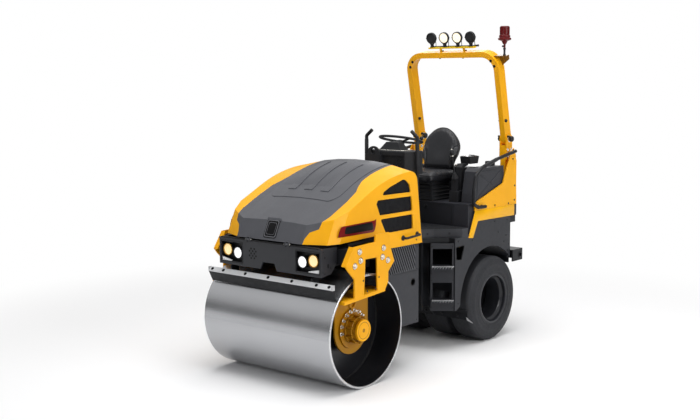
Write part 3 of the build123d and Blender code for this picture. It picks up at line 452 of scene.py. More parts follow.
# ---------------------------------------------------------------- materials
def linear(code):
    """Linear colour of a hex colour code."""
    values = [int(code[i:i + 2], 16) / 255 for i in (0, 2, 4)]
    return [v / 12.92 if v <= 0.04045 else ((v + 0.055) / 1.055) ** 2.4 for v in values] + [1.0]


class Finish:
    """A material made of nodes, in the object's own coordinates."""

    def __init__(self, name, specular=0.5, edge=1.5, metallic=0.0, coat=0.0, coat_roughness=0.12):
        self.material = bpy.data.materials.new(name)
        self.material.use_nodes = True
        self.tree = self.material.node_tree
        self.tree.nodes.clear()
        self.shader = self.tree.nodes.new("ShaderNodeBsdfPrincipled")
        output = self.tree.nodes.new("ShaderNodeOutputMaterial")
        self.link(self.shader.outputs[0], output.inputs[0])
        self.shader.inputs["Metallic"].default_value = metallic
        self.shader.inputs["Coat Weight"].default_value = coat
        self.shader.inputs["Coat Roughness"].default_value = coat_roughness
        self.shader.inputs["Specular IOR Level"].default_value = specular
        self.place = self.tree.nodes.new("ShaderNodeTexCoord").outputs["Object"]
        self.edge = None
        if edge:
            rounding = self.tree.nodes.new("ShaderNodeBevel")
            rounding.samples = 4
            rounding.inputs["Radius"].default_value = edge / 1000
            self.edge = rounding.outputs[0]
            self.link(self.edge, self.shader.inputs["Normal"])

    def link(self, start, end):
        self.tree.links.new(start, end)

    def feed(self, socket, value):
        """Gives a socket a value, or links it to another socket."""
        if isinstance(value, bpy.types.NodeSocket):
            self.link(value, socket)
        else:
            socket.default_value = value

    def math(self, what, *values):
        node = self.tree.nodes.new("ShaderNodeMath")
        node.operation = what
        for socket, value in zip(node.inputs, values):
            self.feed(socket, value)
        return node.outputs[0]

    def axes(self):
        node = self.tree.nodes.new("ShaderNodeSeparateXYZ")
        self.link(self.place, node.inputs[0])
        return node.outputs

    def above(self, value, limit):
        return self.math("GREATER_THAN", value, limit)

    def noise(self, scale, detail=2.0):
        """Noise whose features are about 1 / scale metres."""
        node = self.tree.nodes.new("ShaderNodeTexNoise")
        self.link(self.place, node.inputs["Vector"])
        node.inputs["Scale"].default_value = scale
        node.inputs["Detail"].default_value = detail
        return node.outputs["Fac"]

    def cells(self, scale, regular=False):
        """Distance to the middle of cells about 1 / scale metres wide."""
        node = self.tree.nodes.new("ShaderNodeTexVoronoi")
        self.link(self.place, node.inputs["Vector"])
        node.inputs["Scale"].default_value = scale
        node.inputs["Randomness"].default_value = 0.0 if regular else 1.0
        return node.outputs["Distance"]

    def ramp(self, value, low, high, start, end):
        node = self.tree.nodes.new("ShaderNodeMapRange")
        for socket, given in zip(node.inputs, (value, low, high, start, end)):
            self.feed(socket, given)
        return node.outputs[0]

    def mix(self, factor, first, second):
        node = self.tree.nodes.new("ShaderNodeMix")
        node.data_type = "RGBA"
        self.feed(node.inputs[0], factor)
        self.feed(node.inputs[6], first)
        self.feed(node.inputs[7], second)
        return node.outputs[2]

    def colour(self, value):
        self.feed(self.shader.inputs["Base Color"], value)

    def shade(self, code, spread=0.08, scale=4.0):
        """A colour that wanders a little lighter and darker."""
        base = linear(code)
        light = [min(1.0, value * (1 + spread)) for value in base[:3]] + [1.0]
        dark = [value * (1 - spread) for value in base[:3]] + [1.0]
        return self.mix(self.ramp(self.noise(scale, 4.0), 0.3, 0.7, 0.0, 1.0), dark, light)

    def rough(self, low, high, scale=30.0):
        self.link(self.ramp(self.noise(scale, 3.0), 0.3, 0.7, low, high), self.shader.inputs["Roughness"])

    def bump(self, *layers):
        """Relief from (height socket, strength, distance in millimetres) layers."""
        before = self.edge
        for height, strength, distance in layers:
            node = self.tree.nodes.new("ShaderNodeBump")
            node.inputs["Strength"].default_value = strength
            node.inputs["Distance"].default_value = distance / 1000
            self.link(height, node.inputs["Height"])
            if before:
                self.link(before, node.inputs["Normal"])
            before = node.outputs[0]
        self.link(before, self.shader.inputs["Normal"])


def painted(finish, colour, rough, peel):
    """The finish's material with a colour, a roughness and a faint orange peel."""
    finish.colour(colour)
    finish.rough(*rough)
    finish.bump((finish.noise(260.0), peel, 0.25))
    return finish.material


def paint(name, code, rough=(0.3, 0.4), coat=0.25, spread=0.05, peel=0.12):
    """Sprayed paint with a faint orange peel."""
    finish = Finish(name, 0.14, 2.0, coat=coat)
    return painted(finish, finish.shade(code, spread), rough, peel)


# Places that a finish reads are in metres.
YOKE_INSIDE = 0.5405
YOKE_BOLT_HEIGHT = 0.0135


def bolted_paint(name, code):
    """Yellow paint of the yokes; what stands out past their plates is zinc, and the arm inside the drum is a
    darker yellow, painted shade.
    """
    finish = Finish(name, 0.14, 2.0, coat=0.06)
    off_middle = finish.math("ABSOLUTE", finish.axes()[1])
    head = finish.above(off_middle, HALF_WIDTH / 1000 - YOKE_BOLT_HEIGHT)
    # Inside the drum the arm's yellow is darkened: painted shade.
    arm = finish.math("LESS_THAN", off_middle, YOKE_INSIDE)
    finish.link(finish.math("MULTIPLY", head, 0.85), finish.shader.inputs["Metallic"])
    sprayed = finish.mix(arm, finish.shade(code, 0.05), finish.shade("A8760F", 0.05))
    return painted(finish, finish.mix(head, sprayed, linear("D8D5CC")), (0.3, 0.4), 0.12)


def moulded(name, code, rough=(0.5, 0.62), grain=420.0, depth=0.25, edge=1.5):
    """Moulded plastic with a fine leather-like grain."""
    finish = Finish(name, 0.3, edge)
    finish.colour(finish.shade(code, 0.06, 9.0))
    finish.rough(*rough, scale=70.0)
    finish.bump((finish.cells(grain), depth, 0.25), (finish.noise(38.0), 0.08, 0.6))
    return finish.material


def metal(name, code, rough, metallic):
    """Plated or bare metal with a fine grain."""
    finish = Finish(name, edge=0.8, metallic=metallic)
    finish.colour(finish.shade(code, 0.1, 25.0))
    finish.rough(*rough, scale=120.0)
    finish.bump((finish.noise(360.0), 0.12, 0.15))
    return finish.material


# Just short of the drum's inner wall and of its ends, in metres.
DRUM_BORE = 0.4145
DRUM_HALF_LENGTH = 0.6495


def drum_steel():
    """Steel turned on its outside; inside, near-black painted shade."""
    finish = Finish("turned_steel", edge=0.0)
    x, y, z = finish.axes()
    from_axis_x = finish.math("SUBTRACT", x, DRUM_X)
    from_axis_z = finish.math("SUBTRACT", z, DRUM_Z / 1000)
    squares = finish.math(
        "ADD", finish.math("POWER", from_axis_x, 2.0), finish.math("POWER", from_axis_z, 2.0))
    # Inside the bore, between the ends, the steel is near-black: painted shade of the drum's hollow ends.
    inside = finish.math("LESS_THAN", squares, DRUM_BORE ** 2)
    hidden = finish.math("LESS_THAN", finish.math("ABSOLUTE", y), DRUM_HALF_LENGTH)
    dark = finish.math("MULTIPLY", inside, hidden)
    cloud = finish.noise(1.6, 1.0)
    steel = finish.mix(finish.ramp(cloud, 0.3, 0.7, 0.0, 1.0), linear("B2B3B6"), linear("B6B7BA"))
    finish.colour(finish.mix(dark, steel, linear("131419")))
    bare = finish.math("SUBTRACT", 1.0, dark)
    finish.link(finish.math("MULTIPLY", bare, 0.9), finish.shader.inputs["Metallic"])
    bright = finish.ramp(cloud, 0.3, 0.7, 0.25, 0.27)
    duller = finish.math("MULTIPLY", dark, 0.05)
    finish.link(finish.math("ADD", bright, duller), finish.shader.inputs["Roughness"])
    return finish.material


# The panel's face and the outer end of its pods, in metres from the drum's axis and from the middle.
POD_BACK = 0.3545
POD_END = 0.514


def lamp_panel_finish():
    """Dark grey sheet, black inside the lamp pods behind its face."""
    finish = Finish("lamp_panel_paint", 0.25, coat=0.12)
    x, y, _ = finish.axes()
    behind = finish.math("LESS_THAN", x, DRUM_X + POD_BACK)
    within = finish.math("LESS_THAN", finish.math("ABSOLUTE", y), POD_END)
    pod = finish.math("MULTIPLY", behind, within)
    colour = finish.mix(pod, finish.shade("303135", 0.06), linear("101114"))
    return painted(finish, colour, (0.4, 0.52), 0.2)


FLANGE_BACK = 0.3515
FLANGE_FOOT = 0.7925


def scraper_finish():
    """Light painted flange above a black rubber lip."""
    finish = Finish("scraper_finish", 0.25, 1.0)
    x, _, z = finish.axes()
    front = finish.above(x, DRUM_X + FLANGE_BACK)
    upper = finish.math("MULTIPLY", finish.above(z, FLANGE_FOOT), front)
    finish.colour(finish.mix(upper, finish.shade("17181B", 0.1), finish.shade("D3D4D6", 0.04, 14.0)))
    finish.rough(0.42, 0.6, 40.0)
    finish.bump((finish.noise(300.0), 0.15, 0.3))
    return finish.material


BEACON_HEIGHT = 252.0


def beacon_finish():
    """Dark red moulding on a black stem; its yellow bracket is coloured dark gold, painted shade."""
    finish = Finish("beacon_red", 0.25, 1.2)
    z = finish.axes()[2]
    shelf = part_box("beacon")[1].z - BEACON_HEIGHT / 1000
    stem = finish.above(z, shelf + 0.0065)
    head = finish.above(z, shelf + 0.055)
    # Below the stem the yellow bracket is a dark gold: painted shade.
    lower = finish.mix(stem, finish.shade("7E5810", 0.05), linear("141418"))
    finish.colour(finish.mix(head, lower, finish.shade("5C080B", 0.08, 20.0)))
    finish.rough(0.25, 0.36, 60.0)
    finish.bump((finish.noise(90.0), 0.06, 0.4))
    return finish.material


def rubber():
    """Tyre rubber, a little dusty and finely pored."""
    finish = Finish("tyre_rubber", 0.35, 3.0)
    finish.colour(finish.shade("27282C", 0.12, 14.0))
    finish.rough(0.55, 0.72, 60.0)
    finish.bump((finish.noise(700.0), 0.25, 0.25), (finish.noise(30.0, 3.0), 0.06, 1.0))
    return finish.material


def mesh_grille():
    """Black sheet punched with small round holes, painted darker inside: painted shade."""
    finish = Finish("punched_sheet", 0.12, 0.0)
    distance = finish.cells(150.0, regular=True)
    # The holes are not cut; they are a darker black: painted shade behind them.
    hole = finish.ramp(distance, 0.28, 0.36, 1.0, 0.0)
    finish.colour(finish.mix(hole, linear("121317"), linear("030304")))
    finish.rough(0.5, 0.7)
    finish.bump((distance, 0.5, 0.8))
    return finish.material


def vinyl():
    """Seat cover with small wrinkles and a pressed grain."""
    finish = Finish("seat_vinyl", 0.42, 0.0)
    finish.colour(finish.shade("1F2024", 0.1, 8.0))
    finish.rough(0.4, 0.56, 50.0)
    finish.bump((finish.cells(520.0), 0.3, 0.35), (finish.noise(26.0, 3.0), 0.15, 1.6))
    return finish.material


def lens(name, code, glow, rough=0.15, facets=110.0):
    """Lit lens with a facetted face."""
    finish = Finish(name, edge=0.0, coat=0.6, coat_roughness=0.03)
    finish.shader.inputs["Roughness"].default_value = rough
    finish.colour(linear(code))
    finish.shader.inputs["Emission Color"].default_value = linear(code)
    finish.shader.inputs["Emission Strength"].default_value = glow
    finish.bump((finish.cells(facets), 0.6, 2.0))
    return finish.material


YELLOW = paint("yellow_paint", "F5AE12", (0.3, 0.4), 0.06)
YOKE = bolted_paint("yoke_paint", "F4AC12")
STRIPE = paint("stripe_yellow", "F8B60C", (0.32, 0.42), 0.06)
LAMP_BAR = paint("lamp_bar_yellow", "E8C412", (0.3, 0.4), 0.12)
# Yellow painted darker for the motors, ribs and welds inside the drum's ends: painted shade.
PAINTED_SHADE_YELLOW = paint("shaded_yellow", "A87410", (0.38, 0.5), 0.1)
HOOD = moulded("dark_hood", "4E4F54", (0.28, 0.38), 520.0, 0.1, edge=3.0)
GREY = paint("grey_paint", "393A3E", (0.42, 0.54), 0.1, 0.06, 0.2)
BUMPER = lamp_panel_finish()
BLACK = paint("black_paint", "1E1F22", (0.38, 0.52), 0.12, 0.08, 0.2)
PLASTIC = moulded("black_plastic", "1F2023")
TANK = moulded("tank_plastic", "303136", (0.45, 0.58), 300.0, 0.3)
STEEL = drum_steel()
SCRAPER = scraper_finish()
RUBBER = rubber()
RIM = paint("rim_paint", "26272B", (0.3, 0.42), 0.3, 0.08)
# A lighter copy of the rim paint for the rim lips and the disc's ring: painted highlight.
RIM_LIP_HIGHLIGHT = paint("rim_lip_paint", "2F3035", (0.28, 0.36), 0.3, 0.05)
GRILLE = mesh_grille()
VINYL = vinyl()
ZINC = metal("zinc_bolts", "D8D5CC", (0.2, 0.3), 0.8)
DARK_STEEL = metal("black_bolts", "1B1C1F", (0.35, 0.5), 0.5)
TREAD = metal("tread_steel", "BFC0C2", (0.35, 0.5), 0.5)
CHROME = metal("reflector", "E4E4E6", (0.08, 0.14), 1.0)
MARKER = paint("marker_white", "ECEDEE", (0.15, 0.25), 0.5, 0.02, 0.02)
WARM_LENS = lens("warm_lens", "FFE2A6", 0.5)
WHITE_LENS = lens("white_lens", "F7F8FA", 0.7)
LIT_LENS = lens("work_lens", "FFF0D0", 0.75, facets=60.0)
DARK_LENS = moulded("unlit_lens", "0C0D10", (0.4, 0.5), 160.0, 0.3)
RED_LENS = lens("tail_lens", "7A0E10", 0.03)
AMBER_LENS = lens("turn_lens", "B9560C", 0.03)
RED = beacon_finish()
BADGE = paint("badge_black", "08080A", (0.3, 0.4), 0.0, 0.03, 0.05)
BADGE_RED = paint("badge_red", "74090C", (0.3, 0.4), 0.0, 0.03, 0.05)
# Near-black: painted shade in holes, slots and louvre openings; also the black of the drum head welds, the
# lamp panel's seal and the scraper's bolt heads.
BLACK_AND_HOLE_SHADE = moulded("dark_hole", "08080A", (0.7, 0.8), edge=0.0)
# Near-black for seams and gaps; round the hood's front plate it is a painted shadow.
SEAM_AND_SHADOW = moulded("dark_seam", "17181A", (0.6, 0.7), edge=0.0)
GLASS = lens("display_glass", "0B0D10", 0.0, 0.06, 4.0)
ENGINE = metal("engine_castings", "3C3D40", (0.5, 0.7), 0.4)
# Lighter, glossier steel on the drum rim's chamfer: a painted highlight along a real edge.
EDGE_HIGHLIGHT_STEEL = metal("rim_edge_steel", "D4D5D7", (0.2, 0.3), 0.9)
# A lighter copy of the side panel grey for the louvre ribs: painted highlight of their lit faces.
LOUVRE_HIGHLIGHT = paint("louvre_paint", "55565B", (0.4, 0.5), 0.1, 0.05, 0.1)
SEAT_BOX = paint("seat_box_paint", "2C2D32", (0.42, 0.54), 0.08, 0.06, 0.2)
STEP = paint("step_paint", "35363A", (0.42, 0.54), 0.05, 0.06, 0.2)
PLATE_RIM = paint("plate_rim_paint", "6E6F74", (0.25, 0.35), 0.3, 0.05, 0.1)
LAMP_GOLD = metal("warm_reflector", "B08A3C", (0.15, 0.25), 0.9)
FENDER = paint("fender_paint", "323337", (0.42, 0.54), 0.1, 0.06, 0.2)
# Darker yellow for the arm eyes inside the drum and the rings round the yoke bolts: painted shade.
PAINTED_SHADE_ARM = paint("arm_paint", "B57E12", (0.34, 0.46), 0.12)

NODE_FINISH = {
    "drum": STEEL, "drum_motors": PAINTED_SHADE_YELLOW, "yoke_left": YOKE, "yoke_right": YOKE, "front_frame": BLACK,
    "side_panel_left": GREY, "side_panel_right": GREY, "bumper": BUMPER, "head_lamps": PLASTIC,
    "drum_scrapers": SCRAPER, "engine": ENGINE, "hood_sides": YELLOW, "hood_cover": HOOD,
    "hood_grilles": GRILLE, "rear_frame": BLACK, "rear_axle": BLACK, "rims_left": RIM, "rims_right": RIM,
    "tyres_left": RUBBER, "tyres_right": RUBBER, "fender_left": FENDER, "fender_right": FENDER,
    "step_left": STEP, "step_right": STEP, "floor_plate": GREY, "seat_box": SEAT_BOX, "water_tank": TANK,
    "rear_brackets": YELLOW, "handrails": BLACK, "seat_base": PLASTIC, "control_console": PLASTIC,
    "travel_lever": PLASTIC, "dash_console": PLASTIC, "steering_wheel": PLASTIC, "grab_handles": BLACK,
    "wheel_scrapers": BLACK, "rear_beam": BLACK, "rops_posts": YELLOW, "rops_hoop": YELLOW,
    "light_bar": LAMP_BAR, "work_lamps": PLASTIC, "beacon": RED, "steering_barrel": BLACK,
    "steering_rod": ZINC, "seat_cushion": VINYL, "seat_back": VINYL,
}


def dress_nodes():
    for name, thing in nodes.items():
        thing.data.materials.clear()
        thing.data.materials.append(NODE_FINISH.get(name, BLACK))


# ---------------------------------------------------------------- studio
def shader_mix(tree, factor, first, second):
    mix = tree.nodes.new("ShaderNodeMixShader")
    tree.links.new(factor, mix.inputs[0])
    tree.links.new(first, mix.inputs[1])
    tree.links.new(second, mix.inputs[2])
    return mix.outputs[0]


def backdrop_rays(tree):
    """1 for rays from the camera and for those that metal and glass send to the backdrop."""
    path = tree.nodes.new("ShaderNodeLightPath")
    total = path.outputs["Is Camera Ray"]
    for name in ("Is Glossy Ray", "Is Transmission Ray"):
        either = tree.nodes.new("ShaderNodeMath")
        either.operation = "MAXIMUM"
        tree.links.new(total, either.inputs[0])
        tree.links.new(path.outputs[name], either.inputs[1])
        total = either.outputs[0]
    return total


def make_floor():
    """White ground that keeps the shadow near the machine and fades into the backdrop."""
    size = 60.0
    mesh = bpy.data.meshes.new("floor")
    corners = [(-size, -size, 0), (size, -size, 0), (size, size, 0), (-size, size, 0)]
    mesh.from_pydata(corners, [], [(0, 1, 2, 3)])
    floor = new_object("floor", mesh)
    material = bpy.data.materials.new("floor_white")
    material.use_nodes = True
    tree = material.node_tree
    tree.nodes.clear()
    output = tree.nodes.new("ShaderNodeOutputMaterial")
    diffuse = tree.nodes.new("ShaderNodeBsdfDiffuse")
    diffuse.inputs["Color"].default_value = (0.96, 0.96, 0.965, 1)
    glow = tree.nodes.new("ShaderNodeEmission")
    glow.inputs["Color"].default_value = (1, 1, 1, 1)
    place = tree.nodes.new("ShaderNodeTexCoord")
    length = tree.nodes.new("ShaderNodeVectorMath")
    length.operation = "LENGTH"
    tree.links.new(place.outputs["Object"], length.inputs[0])
    fade = tree.nodes.new("ShaderNodeMapRange")
    fade.interpolation_type = "SMOOTHSTEP"
    fade.inputs["From Min"].default_value = 2.2
    fade.inputs["From Max"].default_value = 5.0
    tree.links.new(length.outputs["Value"], fade.inputs["Value"])
    far = tree.nodes.new("ShaderNodeMath")
    far.operation = "MULTIPLY"
    tree.links.new(fade.outputs[0], far.inputs[0])
    tree.links.new(backdrop_rays(tree), far.inputs[1])
    tree.links.new(shader_mix(tree, far.outputs[0], diffuse.outputs[0], glow.outputs[0]), output.inputs[0])
    mesh.materials.append(material)


def make_world():
    """Soft studio: white for the camera, and a dark band low round the room in what metal shows."""
    world = bpy.data.worlds.new("studio")
    bpy.context.scene.world = world
    world.use_nodes = True
    tree = world.node_tree
    tree.nodes.clear()
    output = tree.nodes.new("ShaderNodeOutputWorld")
    place = tree.nodes.new("ShaderNodeTexCoord")
    split = tree.nodes.new("ShaderNodeSeparateXYZ")
    tree.links.new(place.outputs["Generated"], split.inputs[0])
    shaders = []
    backdrop = ((0.0, 0.2), (0.03, 0.08), (0.14, 0.12), (0.3, 0.6), (0.5, 0.85), (1.0, 0.72))
    ambient = ((0.0, 0.14), (0.3, 0.42), (1.0, 1.1))
    for strength, stops in ((1.0, backdrop), (0.36, ambient)):
        ramp = tree.nodes.new("ShaderNodeValToRGB")
        for position, _ in stops[1:-1]:
            ramp.color_ramp.elements.new(position)
        for element, (_, grey) in zip(ramp.color_ramp.elements, stops):
            element.color = (grey, grey, grey, 1)
        tree.links.new(split.outputs[2], ramp.inputs[0])
        background = tree.nodes.new("ShaderNodeBackground")
        background.inputs["Strength"].default_value = strength
        tree.links.new(ramp.outputs[0], background.inputs["Color"])
        shaders.append(background.outputs[0])
    shown, soft = shaders
    white = tree.nodes.new("ShaderNodeBackground")
    white.inputs["Color"].default_value = (1, 1, 1, 1)
    camera = tree.nodes.new("ShaderNodeLightPath").outputs["Is Camera Ray"]
    shown = shader_mix(tree, camera, shown, white.outputs[0])
    tree.links.new(shader_mix(tree, backdrop_rays(tree), soft, shown), output.inputs[0])


def area_light(name, place, target, size, power):
    light = bpy.data.lights.new(name, "AREA")
    light.shape = "RECTANGLE"
    light.size, light.size_y = size
    light.energy = power
    lamp = new_object(name, light)
    lamp.location = place
    lamp.rotation_euler = (Vector(target) - Vector(place)).to_track_quat("-Z", "Y").to_euler()


def make_lights():
    area_light("overhead", (0.5, 0.5, 7.0), (0, 0, 0.8), (6.0, 6.0), 430)
    area_light("left_key", (0.5, 7.5, 3.2), (0, 0, 1.0), (4.0, 3.0), 215)
    area_light("front_fill", (8.0, 0.5, 3.5), (0, 0, 0.8), (3.5, 3.0), 60)
    area_light("rear_fill", (-7.0, -3.0, 4.0), (0, 0, 0.9), (3.5, 3.0), 100)


def make_camera():
    """Front left of the machine, a little above it, looking down 7 degrees."""
    data = bpy.data.cameras.new("camera")
    data.sensor_width = 36.0
    data.lens = 54.95
    camera = new_object("camera", data)
    forward = Vector((-0.76328, -0.63388, -0.12488)).normalized()
    up = Vector((-0.09883, -0.07646, 0.99216))
    right = forward.cross(up).normalized()
    up = right.cross(forward)
    turn = Matrix((right, up, -forward)).transposed().to_4x4()
    camera.matrix_world = Matrix.Translation((DRUM_X + 6.0452, 5.5110, 2.3132)) @ turn
    bpy.context.scene.camera = camera


# ---------------------------------------------------------------- drum and yokes
def dress_drum():
    edge, weld, plugs = shapes(3)
    for side in (-1, 1):
        out = (0, side, 0)
        profile = [(417.5, -4), (417.5, 0.3), (427, 0.35), (429.9, -2.6), (429.9, -3.4)]
        edge.join(lathe(profile, (0, side * 650, DRUM_Z), out, 96, closed=False))
        profile = [(402, 0), (405.5, 3.5), (410, 7.5), (413.8, 8.5)]
        weld.join(lathe(profile, (0, side * 410, DRUM_Z), out, 96, closed=False))
        for angle in (0.5, 0.5 + pi):
            spot = (330 * cos(angle), side * 410, DRUM_Z + 330 * sin(angle))
            plugs.join(bolt(spot, out, 19, 1.4, 13))
    # The rim's chamfer ring is a lighter steel: painted highlight.
    edge.piece("drum_rim_edges", "drum", EDGE_HIGHLIGHT_STEEL, "drum_steel", sharp=60)
    weld.piece("drum_head_welds", "drum", BLACK_AND_HOLE_SHADE, "black_paint")
    plugs.piece("drum_filler_plugs", "drum", DARK_STEEL, "black_paint", 0.8)


MOTOR_BOLT_CIRCLE = 136.0
MOTOR_BOLT_ANGLES = (-8, 15, 35, 56, 76, 98, 119, 141)


def dress_motor():
    nuts, cap, ribs, eye = shapes(4)
    for angle in MOTOR_BOLT_ANGLES:
        turn = radians(angle)
        place = (MOTOR_BOLT_CIRCLE * cos(turn), 515, DRUM_Z + MOTOR_BOLT_CIRCLE * sin(turn))
        nuts.join(lathe([(15, 0), (15, 2), (13.5, 3), (9, 3)], place, LEFT, 24, closed=False))
        nuts.join(bolt(place, LEFT, 11, 1.2, 15, angle))
    ring = [(82.3, -19), (82.3, -1), (80, 1.5), (67, 1.5), (65, -0.4)]
    ring += [(61, -0.4), (59, 1.5), (17, 1.5), (14, -0.6), (0, -0.6)]
    cap.join(lathe(ring, (0, 620, DRUM_Z), LEFT, 56))
    for x, z in circle(10, 97, pi / 12):
        place = (x, 530, DRUM_Z + z)
        ribs.join(block((-6, 6), (-3, 11), (0, 56)), frame_of(place, LEFT, Vector((x, 0, z)).normalized()))
        ribs.join(bolt((x * 1.08, 530, DRUM_Z + z * 1.08), LEFT, 5, 1.3, 6))
    ribs.join(lathe([(96.2, 72), (101, 74), (101, 80), (96.2, 82)], (0, 500, DRUM_Z), LEFT, 48, closed=False))
    bush = [(40, -2), (40, 12), (36, 16), (27, 16), (24, 12), (24, -2)]
    eye.join(lathe(bush, (-2, 500, 618), LEFT, 32, closed=False))
    nuts.mirrored().piece("drum_motor_bolts", "front", ZINC, "drum_steel")
    cap.mirrored().piece("drum_motor_caps", "front", YELLOW, "yellow_paint", 0.6)
    ribs.mirrored().piece("drum_motor_ribs", "front", PAINTED_SHADE_YELLOW, "arm_paint", 1.0)
    eye.mirrored().piece("yoke_arm_eyes", "front", PAINTED_SHADE_ARM, "arm_paint", 0.8)


YOKE_FACE = 685.0
YOKE_BOLTS = ((127, 1045), (116, 979), (182, 947), (-155, 1040), (-142, 973), (-206, 941))


def dress_yokes():
    washers, seats, buffers = shapes(3)
    for number, (x, z) in enumerate(YOKE_BOLTS):
        place = (x, YOKE_FACE, z)
        washers.join(lathe([(22, 0), (22, 2.4), (20.5, 3.2), (12, 3.2)], place, LEFT, 28, closed=False))
        collar = [(17, 3), (17, 9), (14.5, 12.6), (11.9, 13.6)]
        washers.join(lathe(collar, place, LEFT, 6, 0.4 * number, closed=False))
        seats.join(lathe([(26, 0), (26, 0.8), (22, 1)], place, LEFT, 28, closed=False))
    for x in (105, -110):
        top = 697 + (105 - x) * 32 / 475
        profile = [(22, 0), (32, -5), (32, -18), (27, -22), (27, -30), (18, -33), (0, -33)]
        buffers.join(lathe(profile, (x, 598, top), UP, 28))
        buffers.join(lathe([(9, -32), (9, -43), (7, -45), (0, -45)], (x, 598, top), UP, 6))
    washers.mirrored().piece("yoke_bolt_heads", "front", ZINC, "drum_steel")
    small = side_screws(((85, 827), (-100, 828), (40, 742), (-60, 748)), 7, YOKE_FACE)
    small.piece("yoke_screws", "front", DARK_STEEL, "black_paint")
    # The rings round the bolt heads are a darker yellow: painted shade under the bolts.
    seats.mirrored().piece("yoke_bolt_seats", "front", PAINTED_SHADE_ARM, "arm_paint")
    buffers.mirrored().piece("yoke_buffers", "front", PLASTIC, "black_plastic", 0.8)
    welds = Shape().join(tube([(-170, 503, 706), (290, 503, 676)], 4.5, 8))
    welds.mirrored().piece("yoke_welds", "front", PAINTED_SHADE_YELLOW, "arm_paint")


# ---------------------------------------------------------------- lamp panel
HEAD_LAMPS = ((442, 983, "outer"), (334, 966, "inner"))


def dress_lamps():
    lenses = {"outer": Shape(), "inner": Shape()}
    rings = {"outer": Shape(), "inner": Shape()}
    clips = Shape()
    for y, z, place in HEAD_LAMPS:
        dome = [(41.5, 0), (41.5, 2.5), (36, 6), (24, 9.4), (12, 11), (0, 11.4)]
        lenses[place].join(lathe(dome, (355, y, z), FORWARD, 40))
        ring = [(47.5, 0), (47.5, 8), (45.5, 10.5), (42.5, 10.5), (41, 7), (41, 0)]
        rings[place].join(lathe(ring, (352, y, z), FORWARD, 48, closed=False))
        for angle in (0.6, 2.7, 4.7):
            spot = (352, y + 50 * cos(angle), z + 50 * sin(angle))
            clips.join(lathe([(4.5, 0), (4.5, 7), (3, 9), (0, 9)], spot, FORWARD, 12))
    wedge = prism([(398, 896), (498, 896), (498, 923), (398, 903)], 352, 364, front_view())
    lenses["outer"].mirrored().piece("head_lamp_lenses_outer", "front", WARM_LENS, "lamp_lens")
    lenses["inner"].mirrored().piece("head_lamp_lenses_inner", "front", WHITE_LENS, "lamp_lens")
    rings["outer"].mirrored().piece("head_lamp_rings_outer", "front", LAMP_GOLD, "lamp_lens")
    rings["inner"].mirrored().piece("head_lamp_rings_inner", "front", PLASTIC, "black_plastic")
    clips.mirrored().piece("head_lamp_clips", "front", DARK_STEEL, "black_paint")
    wedge.mirrored().piece("marker_strips", "front", MARKER, "lamp_lens", 1.0)


# The horn's holes: how many in each row, and the row's height above the middle.
HORN_ROWS = ((2, 36), (3, 18), (2, 0), (3, -18), (2, -36))
HORN_Y = -165.0
HORN_Z = 978.0


def dress_lamp_panel():
    holes = Shape()
    for count, z in HORN_ROWS:
        for number in range(count):
            y = HORN_Y + (number - (count - 1) / 2) * 34
            holes.join(lathe([(8, 0), (8, 0.5), (0, 0.5)], (367, y, HORN_Z + z), FORWARD, 14))
    for x, z, half_x, half_z in ((330, 1012, 6, 6), (331, 893, 6, 6), (294, 947, 9, 16), (268, 930, 5, 5)):
        outline = rectangle((x - half_x, x + half_x), (z - half_z, z + half_z), min(half_x, half_z))
        holes.join(prism(outline, 527, 527.6, SIDE_VIEW).mirrored())
    seal = block((344, 374), (-506, 506), (1073, 1082))
    frames = band(rectangle((271, 514), (886, 1054), 10), 9, 366, 369.5, front_view())
    pins = Shape()
    for side in (-1, 1):
        for low, high in ((side * 200 - 29, side * 200 - 26), (side * 200 + 26, side * 200 + 29)):
            pins.join(lathe([(7, low), (7, high), (0, high)], (375, 0, 1085), LEFT, 12))
        pins.join(block((373.5, 378), (side * 200 - 11, side * 200 + 11), (1092, 1102)))
    # The horn's holes and the panel's side holes are near-black discs: painted shade, not cut.
    holes.piece("lamp_panel_holes", "front", BLACK_AND_HOLE_SHADE, "black_plastic")
    seal.piece("lamp_panel_seal", "front", BLACK_AND_HOLE_SHADE, "black_plastic", 2.0)
    heads = side_screws(((225, 1050), (345, 1055), (345, 905)), 6.5, 527)
    heads.piece("lamp_panel_screws", "front", DARK_STEEL, "black_paint")
    frames.mirrored().piece("lamp_pod_frames", "front", PLASTIC, "black_plastic", 1.0)
    pins.piece("hood_hinge_pins", "front", ZINC, "drum_steel", 0.8)


def dress_scraper():
    heads = Shape()
    for y in (0, 241, -241, 483, -483, 604, -604):
        head = [(13, 0), (13, 2), (10.5, 6), (8, 7), (0, 7)]
        heads.join(lathe(head, (373.4, y, 813.4), (1, 0, 1), 18))
    heads.piece("scraper_bolts", "front", BLACK_AND_HOLE_SHADE, "black_paint")
    clamps = Shape()
    for y in (-300, 300):
        clamps.join(block((-474, -466), (y - 60, y + 60), (605, 645)))
        clamps.join(bolts([(-474, y - 35, 625), (-474, y + 35, 625)], REARWARD, 8))
    clamps.piece("rear_scraper_clamps", "front", BLACK, "black_paint", 1.0)
    tips = Shape()
    for side in (-1, 1):
        low, high = sorted((side * 636, side * 639.4))
        tips.join(block((352, 386), (low, high), (790, 829)))
    tips.piece("scraper_end_tabs", "front", TREAD, "scraper_steel", 1.0)


# ---------------------------------------------------------------- hood
def hood_front(z):
    """Matrix on the hood's nose at a height: x to the left, y up the slope, z out of it."""
    place, normal = surface(nodes["hood_cover"], (700, 0, z), REARWARD)
    return frame_of(place, normal)


